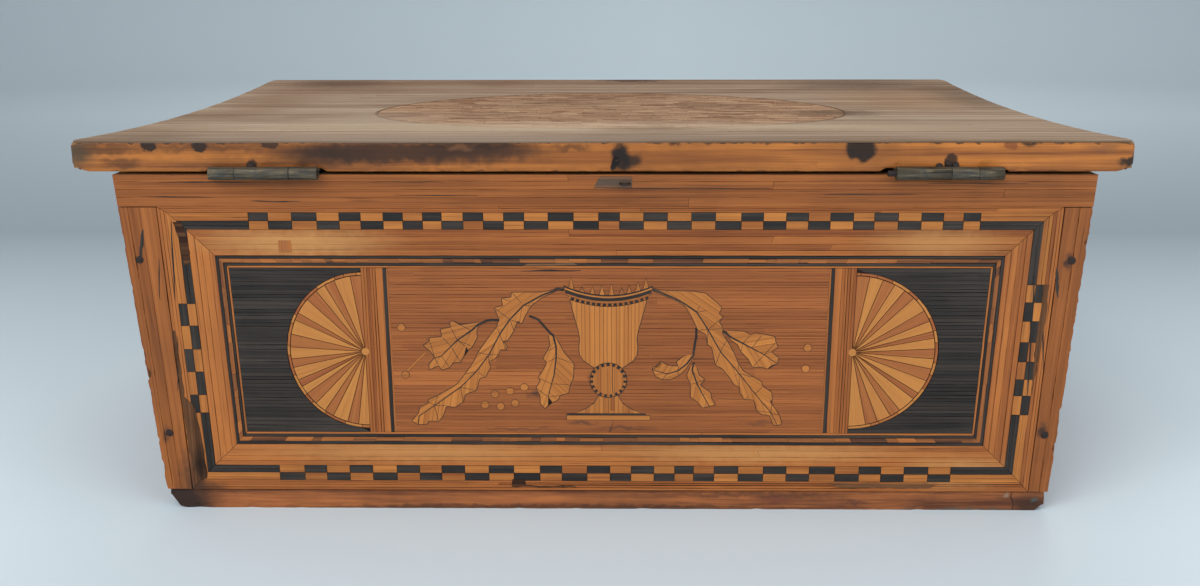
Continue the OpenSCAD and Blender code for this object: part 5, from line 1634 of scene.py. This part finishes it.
class STRAWBOX_OT_lid_top(bpy.types.Operator):
    """Long weathered splints of the lid's top and the oval of short ones"""

    bl_idname = "strawbox.lid_top"
    bl_label = "Lid top"

    def execute(self, context):
        low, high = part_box("lid_oval_inlay")
        self.centre = ((low.x + high.x) / 2 / MM, (low.y + high.y) / 2 / MM)
        self.reach = ((high.x - low.x) / 2 / MM, (high.y - low.y) / 2 / MM)
        self.rows()
        self.oval()
        self.oval_line()
        return {"FINISHED"}

    def half_at(self, v, grow=0.0):
        """Half length of the oval at v."""
        share = (v - self.centre[1]) / (self.reach[1] + grow)
        return (self.reach[0] + grow) * math.sqrt(max(0.0, 1 - share * share))

    def rows(self):
        inlay = Inlay(LID_TOP, 71)
        inlay.segment = 14
        rand = inlay.random
        left, right = (LID_TOP.x0,) * 2, (LID_TOP.x1,) * 2
        tips = (self.centre[1] - self.reach[1] - OVAL_PLAY, self.centre[1] + self.reach[1] + OVAL_PLAY)
        v = LID_TOP.y0
        while v < LID_TOP.y1 - 0.5:
            step = min(size_of("lid_splint") * rand.uniform(0.6, 1.4), LID_TOP.y1 - ROW_PLAY - v)
            if v - LID_TOP.y0 < 1 or LID_TOP.y1 - v - step < 1:
                step = min(step, 1.3)
            for tip in tips:
                if v + 0.3 < tip < v + step:
                    step = tip - v
            reach0, reach1 = self.half_at(v, OVAL_PLAY), self.half_at(v + step, OVAL_PLAY)
            spans = [(left, right)]
            if max(reach0, reach1) > 2:
                spans = [(left, (self.centre[0] - reach0, self.centre[0] - reach1)),
                         ((self.centre[0] + reach0, self.centre[0] + reach1), right)]
            for starts, ends in spans:
                self.run(inlay, v, v + step, *starts, *ends)
            v += step
        material = straw_material(
            "Lid straw", "lid_light", "lid_dark", srgb(70, 54, 42), fibres=0.45, flecks=0.6,
            soil_strength=0.6, grime=0.75, grime_colour=srgb(104, 74, 52), rough=0.72,
            stains=lid_top_stains_and_sheen(), ragged=0.005, gloss=0.05, drawn=(0.35, 1.1, 1))
        inlay.piece("lid_top_splints", "lid", material, "lid_straw", "lid_top_veneer")

    def run(self, inlay, v0, v1, s0, s1, e0, e1):
        """One row between two ends, in pieces of uneven length."""
        rand = inlay.random
        near = min(v0 - LID_TOP.y0, LID_TOP.y1 - v1)
        worn = rand.uniform(0, 0.3) + (2.4 if near < 1 else 1.1 if near < 2.5 else 0.3 if near < 5 else 0)
        s0, s1 = (max(s, LID_TOP.x0 + worn) for s in (s0, s1))
        e0, e1 = (min(e, LID_TOP.x1 - worn) for e in (e0, e1))
        base = rand.uniform(0.3, 0.7)
        cut = mix((s0 + s1) / 2, (e0 + e1) / 2, rand.uniform(0.3, 0.7))
        if e0 - s0 > 120 and rand.random() < 0.5:
            inlay.splint((s0, v0), (cut, v0), (s1, v1), (cut, v1), base)
            inlay.splint((cut + 0.15, v0), (e0, v0), (cut + 0.15, v1), (e1, v1),
                         base + rand.uniform(-0.15, 0.15))
        elif e0 - s0 > 1:
            inlay.splint((s0, v0), (e0, v0), (s1, v1), (e1, v1), base)

    def oval(self):
        tiles = Tiles(LID_TOP, 83)
        rand = tiles.random
        v = self.centre[1] - self.reach[1] + 1
        while v < self.centre[1] + self.reach[1] - 1:
            width = rand.uniform(1.5, 2.3)
            reach = self.half_at(v + width / 2) - 0.3
            u = -reach
            while u < reach - 0.5:
                length = min(rand.choice((4, 6, 9, 14, 22)) * rand.uniform(0.8, 1.2), reach - u)
                tone = rand.choice((0.1, 0.4, 0.55, 0.7, 0.9))
                tiles.add(self.centre[0] + u + length / 2, v + width / 2, 0, length, width, tone)
                u += length
            v += width
        material = straw_material(
            "Oval straw", "oval_light", "oval_dark", srgb(64, 46, 36), streaks=0.3, soil_strength=0.85,
            grime=0.65, grime_colour=srgb(86, 58, 40), rough=0.72, stains=lid_top_stains_and_sheen(), ragged=0.004,
            gloss=0.05, drawn=(0.7, 1.2, 1))
        tiles.piece("lid_oval_tiles", "lid", material, "oval_straw", "lid_oval_inlay")

    def oval_line(self):
        inlay = Inlay(LID_TOP, 89)
        inlay.segment = 5
        width = (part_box("lid_oval_inlay")[0].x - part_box("lid_oval_line")[0].x) / MM
        turns = 40
        for i in range(turns):
            ends = [2 * math.pi * (i + k) / turns for k in (0, 0.985)]
            a, b = ([(self.centre[0] + (self.reach[0] + grow) * math.cos(t),
                      self.centre[1] + (self.reach[1] + grow) * math.sin(t)) for t in ends]
                    for grow in (-0.1, width + 0.1))
            inlay.splint(*b, *a, inlay.random.uniform(0, 0.4), 0.06)
        brown = straw_material("Oval line", srgb(150, 118, 88), srgb(104, 76, 56), srgb(70, 52, 40),
                               soil_strength=0.5, stains=lid_top_stains_and_sheen(), rough=0.72, gloss=0.05)
        inlay.piece("lid_oval_outline", "lid", brown, "ebonised_straw", "lid_oval_line")


def lid_top_stains_and_sheen():
    """Smudges of the weathered top, and painted sheen that makes it paler near the back edge and darker far
    off.
    """
    dark, dull = (70, 50, 40), (120, 92, 70)
    return [stain((x, y, 142), (rx, ry, 30), colour, strength, softness)
            for x, y, rx, ry, colour, strength, softness in (
                # The large dark stain far off and the two pale ones near the back edge are painted sheen; the
                # others are smudges.
                (0, 170, 400, 150, (98, 56, 28), 0.55, 0.95), (-140, 110, 70, 50, (98, 60, 34), 0.4, 0.9),
                (0, -70, 250, 40, (200, 176, 148), 0.5, 0.9), (-60, -128, 200, 30, (142, 122, 106), 0.6, 0.9),
                (20, -78, 36, 20, dull, 0.6, 0.9), (-150, 125, 40, 30, dark, 0.5, 0.9),
                (14, 136, 24, 9, dark, 0.8, 0.7), (104, -4, 30, 20, (92, 68, 50), 0.75, 0.8),
                (-165, 40, 30, 90, (120, 88, 60), 0.45, 0.9), (-100, -30, 40, 50, (186, 166, 144), 0.3, 0.9),
                (150, 50, 60, 70, (142, 100, 62), 0.5, 0.9), (70, -90, 60, 20, dull, 0.4, 0.9),
                (140, 120, 60, 40, dark, 0.5, 0.9), (185, 60, 30, 80, dark, 0.45, 0.9),
                (-170, -115, 35, 30, (104, 80, 60), 0.45, 0.9))]


class STRAWBOX_OT_lid_edges(bpy.types.Operator):
    """Worn and stained edges of the lid"""

    bl_idname = "strawbox.lid_edges"
    bl_label = "Lid edges"

    def execute(self, context):
        low, high = box_mm("lid_edge_strips")
        mid = (low.y + high.y) / 2
        corners = [v.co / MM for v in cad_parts["lid_edge_strips"].data.vertices]
        under_high = min(p.z for p in corners if p.y < low.y + 0.5)
        bow = under_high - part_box("lid_board")[0].z / MM
        thick = high.z - under_high
        path = perimeter(low, high, 2.2, 2.0)
        section = ((0.85, 0.0), (0.45, 0.02), (0.12, 0.35), (0.0, 1.0), (0.0, 3.2), (0.0, 5.6),
                   (0.0, 8.0), (0.03, 8.8), (0.2, 9.16), (0.85, 9.2))
        pins = [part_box(way + "_hinge_pin") for way in ("left", "right")]
        loops = []
        for inset, z in section:
            loop = []
            for (x, y), way in path:
                share = ((y - mid) / (high.y - mid)) ** 2
                under = under_high - bow * (1 - share)
                stray = 0.16 * (wear((x, y, z * 1.5), 5, 11) - 0.5)
                if 0.1 < z < 2:
                    stray += chips((x, y, 0), 0.9, 31)
                back = min(0.84, max(inset, inset + stray)) if inset < 0.8 else inset
                height = mix(under, LID_TOP.height(y) - 0.78, z / (thick - 0.8))
                corner = max(0, (abs(x) - high.x + 5) / 5) * max(0, (abs(y - mid) - high.y + mid + 6) / 6)
                beside = y < mid and any(
                    a.x / MM - PIN_CLEARANCE < x < b.x / MM + PIN_CLEARANCE for a, b in pins)
                height -= 0 if beside else LIP_DROP * max(0, 1 - z / LIP_FADE)
                height += corner * (3.2 * max(0, 1 - z / 4.5) - 1.0 * max(0, z / 3 - 2))
                loop.append(Vector((x - way[0] * back, y - way[1] * back, height)) * MM)
            loops.append(loop)
        material = wood_material(
            "Lid edge", "edge_light", "edge_dark", level=0.55, contrast=1.0, lines=0.5, grime=0.75,
            grime_colour=srgb(84, 46, 26), stains=lid_edge_stains(), rough=0.45, pitch=(6.0, 420.0))
        make_piece("lid_edge_band", *rings(loops, True), "lid", material, "edge_straw", ("lid_edge_strips",))
        return {"FINISHED"}


def lid_edge_stains():
    """Black and brown stains of the lid's back edge."""
    black, brown, edge = (30, 22, 18), (54, 34, 24), (48, 32, 24)
    return [stain((x, LID_TOP.y0, z), (rx, 5, rz), colour, strength, softness)
            for x, z, rx, rz, colour, strength, softness in (
                (5, 138, 75, 9, (116, 62, 26), 0.5, 0.95), (0, 144.1, 400, 0.9, edge, 0.8, 0.6),
                (0, 132.8, 400, 0.7, edge, 0.5, 0.8), (-76, 140.2, 54, 5.6, brown, 0.92, 0.6),
                (-34, 140.4, 26, 5.2, brown, 0.85, 0.9), (-45, 142.6, 26, 2.2, black, 0.75, 0.6),
                (-100, 138, 26, 5, edge, 0.65, 0.8), (-50, 141.6, 7, 1.6, (150, 98, 60), 0.5, 0.8),
                (-161.5, 142.4, 3.4, 2.4, black, 0.95, 0.3), (-143, 142.2, 3.6, 2.8, black, 0.95, 0.3),
                (-118, 142.8, 4.4, 2.2, black, 0.8, 0.4), (92.8, 141.2, 6.6, 5.2, black, 0.95, 0.3),
                (7, 139.5, 3.4, 4, black, 0.9, 0.6), (10.5, 136.8, 6, 4.2, black, 0.85, 0.6),
                (-10, 141.8, 10, 1.8, brown, 0.6, 0.8), (-50, 138.4, 28, 5, brown, 0.6, 0.8),
                (7.5, 138, 4.5, 7, black, 0.9, 0.6), (5.2, 136, 1.6, 3.4, (8, 7, 7), 0.95, 0.4),
                (27, 143.2, 3, 1.2, black, 0.6, 0.5), (61, 143.4, 3, 1.2, black, 0.6, 0.5),
                (152, 143.4, 3.4, 1.2, black, 0.6, 0.5), (-124.4, 135.6, 2.4, 2.4, black, 0.85, 0.4),
                (125, 136.4, 3.4, 3.6, black, 0.9, 0.4), (-189, 140, 13, 8, (74, 62, 46), 0.9, 0.8),
                (-176, 141, 16, 3.4, edge, 0.6, 0.9), (-140, 141.8, 50, 2.8, brown, 0.6, 0.9),
                (-172, 136, 10, 3, brown, 0.6, 0.7), (-130, 136.6, 60, 3.4, edge, 0.35, 0.9),
                (188.5, 136.4, 6, 3, black, 0.95, 0.6), (187, 143.6, 5, 1.4, black, 0.8, 0.6),
                (145.8, 142.4, 3, 2, (120, 62, 34), 0.7, 0.4), (178, 141.6, 9, 3, (112, 74, 52), 0.5, 0.8))]


def metal_material():
    """Dull metal under a grey-green patina, with dark and pale scratches."""
    material, tree, shader = new_material("Butt metal")
    place = place_of(tree)
    blotch = noise_value(tree, place, 260, 5, 0.65)
    scratch = noise_value(tree, vector_maths(tree, "MULTIPLY", place, (90, 1500, 1500)), 1, 3)
    share = stretch(tree, blotch, 0.38, 0.62)
    colour = blend_colour(tree, share, shade("metal"), shade("patina"))
    for low, high, most, tone in ((0.5, 0.66, 0.9, srgb(38, 35, 30)), (0.4, 0.28, 0.7, srgb(156, 140, 108))):
        colour = blend_colour(tree, stretch(tree, scratch, low, high, 0, most), colour, shade(tone))
    give(tree, shader, {"Base Color": colour, "Metallic": stretch(tree, share, 0, 1, 0.75, 0.15),
                        "Roughness": stretch(tree, blotch, 0.3, 0.7, 0.42, 0.68)})
    bumped(tree, shader, blotch, 0.0002, 0.5)
    return material


def rust_material():
    """Dark rust with redder spots."""
    material, tree, shader = new_material("Rusty iron")
    value = noise_value(tree, place_of(tree), 900, 4, 0.6)
    colour = blend_colour(tree, stretch(tree, value, 0.5, 0.75), shade("rust"), shade(srgb(76, 50, 40)))
    give(tree, shader, {"Base Color": colour, "Metallic": 0.35,
                        "Roughness": stretch(tree, value, 0.3, 0.7, 0.5, 0.8)})
    bumped(tree, shader, value, 0.0002, 0.6)
    return material


def softened(node, body, material, slot, width, rough):
    """Copy of a node's solid with rounded edges and a slightly uneven surface."""
    bm = bmesh.new()
    bm.from_mesh(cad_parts[node].data)
    bmesh.ops.remove_doubles(bm, verts=bm.verts, dist=1e-6)
    bmesh.ops.dissolve_limit(bm, angle_limit=math.radians(3), verts=bm.verts, edges=bm.edges)
    sharp = [e for e in bm.edges if len(e.link_faces) == 2 and e.calc_face_angle(0) > math.radians(35)]
    bmesh.ops.bevel(bm, geom=sharp, offset=width * MM, segments=2, profile=0.5, affect="EDGES",
                    clamp_overlap=True)
    for vert in bm.verts:
        vert.co -= vert.normal * rough * MM * (0.5 + 0.5 * noise.noise(vert.co / (2.5 * MM)))
    mesh = bpy.data.meshes.new(node + "_worn")
    bm.to_mesh(mesh)
    bm.free()
    finish_piece(node + "_worn", mesh, body, material, slot, (node,))


class STRAWBOX_OT_butts(bpy.types.Operator):
    """Leaves, knuckles and pins of the two butts"""

    bl_idname = "strawbox.butts"
    bl_label = "Butts"

    def execute(self, context):
        metal, rust = metal_material(), rust_material()
        for way in ("left", "right"):
            for body in ("body", "lid"):
                softened(f"{way}_hinge_{body}_leaf", body, metal, "hinge_metal", 0.22, 0.05)
            softened(way + "_hinge_pin", "body", rust, "hinge_iron", 0.25, 0.04)
        softened("lid_wire_stub", "lid", rust, "nail_iron", 0.12, 0.06)
        softened("body_wire_loop", "body", rust, "nail_iron", 0.1, 0.06)
        return {"FINISHED"}


class STRAWBOX_OT_nails(bpy.types.Operator):
    """Rusty nails, and the lumps of rust on the lid's back edge"""

    bl_idname = "strawbox.nails"
    bl_label = "Nails"

    def execute(self, context):
        rust = rust_material()
        corner = []
        for side in SIDES[:2]:
            for share in (0.24, 0.76):
                for way in (-1, 1):
                    v = share * side.top
                    u = side.edge(way, v) - way * 4.8
                    corner.append((side.point(u, v, 0.1), tuple(side.normal)))
        self.nails("corner_nails", "body", corner, (1.45, 0.32, 0.9, 28), rust, ("wall_nails",), 5)
        torn = [((x * MM, (LID_TOP.y0 - 0.2) * MM, z * MM), (0.1, -1, 0.3))
                for x, z in ((-125, 135.2), (124, 135.9), (126.6, 135.3), (120.8, 135))]
        self.nails("torn_nails", "lid", torn, (1.3, 0.7, 0.4, 3), rust, (), 9)
        for node in ("bottom_nails", "hinge_body_nails", "hinge_lid_nails"):
            refinish(node, rust)
        return {"FINISHED"}

    def nails(self, name, body, places, sizes, material, nodes, seed):
        """Nails at places with their ways, from radius and height of the head and of the shank."""
        head, height, shank, length = (s * MM for s in sizes)
        points, ways = zip(*places)
        mesh = grown(name, tree_of("Cut nails"), points, {"outward": ways}, {
            "Head Radius": head, "Head Height": height, "Shank Radius": shank, "Shank Length": length,
            "Seed": seed, "Material": material})
        finish_piece(name, mesh, body, material, "nail_iron", nodes)


# Cracks of the back: place, length, width, and slant in degrees
CRACKS = (
    (-118, 122.4, 18, 0.55, 0), (-168.6, 106, 12, 1.5, 80), (-163.5, 93, 16, 0.5, 85),
    (-60, 124.6, 30, 0.3, 0), (30, 127.2, 60, 0.3, 0), (96, 125, 34, 0.35, 0), (-140, 129.4, 40, 0.3, 0),
    (134, 129, 36, 0.4, 0), (158.2, 76, 60, 0.9, -87.6), (-157.6, 100, 30, 0.8, 87),
    (163, 70, 24, 0.5, -84), (166, 92, 12, 1.3, -82), (-160, 60, 22, 0.5, 84), (-154, 124, 26, 0.35, 0),
    (-19, 96.4, 22, 0.8, 0), (-70, 129.5, 26, 0.25, 0),
)
# Patches of the back: outline, tone, and grain in degrees
PATCHES = (
    (((-1, 131.6), (10.6, 131.6), (10.6, 127.2), (-3.4, 127.2)), 0.0, 0),
    (((-118.5, 107.9), (-113.6, 107.9), (-113.6, 103.2), (-118.5, 103.2)), 0.8, 90),
    (((-29, 98.3), (-9, 98.5), (-10.6, 99.5), (-19, 99.3), (-27.5, 99.2)), 0.1, 0),
    (((-26, 98.6), (-18, 98.7), (-18.6, 99.1), (-25, 99)), 1.0, 0),
)
# Places of the back where straw is missing: outline, tone, and grain in degrees
BARE = (
    (((-160.9, 72.9), (-159.8, 72.9), (-159.2, 60.2), (-158.7, 46.5), (-155.5, 43.2), (-154.5, 34.6),
      (-153.5, 24.2), (-153.1, 12.4), (-157.4, 11.6), (-159.3, 24.2), (-160, 40.8), (-160.3, 57)), 0.45, 90),
    (((-156.4, 114.9), (-153.4, 114.9), (-151.4, 108.5), (-151.2, 99.5), (-153.8, 98.2), (-154.8, 108)),
     0.15, 0),
    (((161.1, 91.2), (163.2, 91.2), (163.2, 77.3), (162.4, 68.3), (161.7, 56.4), (161, 48.4), (160.3, 66.3),
      (161, 78.1)), 0.6, 90),
    (((86.9, 11.5), (127.9, 11.5), (126.2, 9.4), (91.7, 9.4)), 0.9, 0),
    (((-35.2, 12.6), (-30, 12.6), (-30, 10.2), (-10.5, 9.9), (-10.5, 9.3), (-35.2, 9.3)), 0.0, 0),
)


def ragged(loop, rand):
    """The closed loop with small random steps along its edges."""
    made = []
    step, stray = 2.0, 0.25
    for a, b in zip(loop, loop[1:] + loop[:1]):
        count = max(1, round(math.dist(a, b) / step))
        made += [tuple(x + rand.uniform(-stray, stray) for x in mix(a, b, i / count)) for i in range(count)]
    return made


class STRAWBOX_OT_wear(bpy.types.Operator):
    """Cracks of the straw, patches let in at mends, and bare places"""

    bl_idname = "strawbox.wear"
    bl_label = "Cracks and mends"

    def execute(self, context):
        black = ebony_material("Open cracks")
        mend = straw_material("Mends", "rail_light", srgb(92, 74, 60), grime=0.3)
        for side in SIDES:
            cracks = Inlay(side, seed_of(side.name, "cracks"))
            rand = cracks.random
            found = CRACKS if side is BACK else [
                (side.half * rand.uniform(-0.8, 0.8), rand.uniform(122, 131), rand.uniform(12, 50), 0.35, 0)
                for _ in range(7)]
            for u, v, size, width, slant in found:
                self.crack(cracks, (u, v), size, width, math.radians(slant))
            cracks.piece(side.name + "_cracks", "body", black, "edge_straw")
        patches = Inlay(BACK, 31)
        for loop, tone, angle in PATCHES:
            patches.tile(loop, tone, math.radians(angle), 0.09, SHALLOW)
        patches.piece("back_mends", "body", mend, "edge_straw")
        bare = Inlay(BACK, 37)
        for loop, tone, angle in BARE:
            bare.tile(ragged(loop, bare.random), tone, math.radians(angle), 0.08, SHALLOW, gap=0)
        ground = straw_material(
            "Bare places", srgb(136, 92, 60), srgb(52, 33, 25), srgb(30, 23, 18), streaks=0.45, fibres=0.45,
            flecks=0.4, grime=0.55, rough=0.7, gloss=0.1,
            stains=back_stains(4, (30, 24, 22), ((-155, 18, 5, 12, 0.85, 0.9),)))
        bare.piece("back_bare_places", "body", ground, "edge_straw")
        return {"FINISHED"}

    def crack(self, inlay, place, size, width, slant):
        """A thin jagged sliver."""
        rand = inlay.random
        steps = 6
        way = (math.cos(slant), math.sin(slant))
        upper, lower = [], []
        for i in range(steps + 1):
            along = size * (i / steps - 0.5) + (rand.uniform(-0.3, 0.3) if 0 < i < steps else 0)
            half = width * (0.12 + 0.38 * math.sin(math.pi * i / steps)) * rand.uniform(0.6, 1.2)
            drift = rand.uniform(-0.15, 0.15)
            here = (place[0] + along * way[0], place[1] + along * way[1])
            for edge, distance in ((upper, drift + half), (lower, drift - half)):
                edge.append(aside(here, way, distance))
        inlay.tile(upper + lower[::-1], 0.0, slant, 0.06, SHALLOW, gap=0, chamfer=0.01)


PIECES = [
    STRAWBOX_OT_stage, STRAWBOX_OT_rails, STRAWBOX_OT_bands, STRAWBOX_OT_stringing,
    STRAWBOX_OT_end_panels, STRAWBOX_OT_ground, STRAWBOX_OT_checks, STRAWBOX_OT_fans,
    STRAWBOX_OT_ornament, STRAWBOX_OT_boards, STRAWBOX_OT_lid_top, STRAWBOX_OT_lid_edges,
    STRAWBOX_OT_butts, STRAWBOX_OT_nails, STRAWBOX_OT_wear,
]


class STRAWBOX_PT_panel(bpy.types.Panel):
    """Lists the pieces of the box with their sizes and colours"""

    bl_idname = "STRAWBOX_PT_panel"
    bl_label = "Straw table box"
    bl_space_type = "VIEW_3D"
    bl_region_type = "UI"
    bl_category = "Table Box"

    def draw(self, context):
        for piece in PIECES:
            self.layout.operator(piece.bl_idname)
        for settings in (context.scene.box_sizes, context.scene.box_colours):
            column = self.layout.column()
            for name in settings.__annotations__:
                column.prop(settings, name)


CLASSES = [BoxSizes, BoxColours, *PIECES, STRAWBOX_PT_panel]


def register():
    for cls in CLASSES:
        bpy.utils.register_class(cls)
    bpy.types.Scene.box_sizes = PointerProperty(type=BoxSizes)
    bpy.types.Scene.box_colours = PointerProperty(type=BoxColours)


def unregister():
    del bpy.types.Scene.box_colours
    del bpy.types.Scene.box_sizes
    for cls in reversed(CLASSES):
        bpy.utils.unregister_class(cls)


def main():
    register()
    for piece in PIECES:
        group, name = piece.bl_idname.split(".")
        getattr(getattr(bpy.ops, group), name)()


if __name__ == "__main__":
    main()
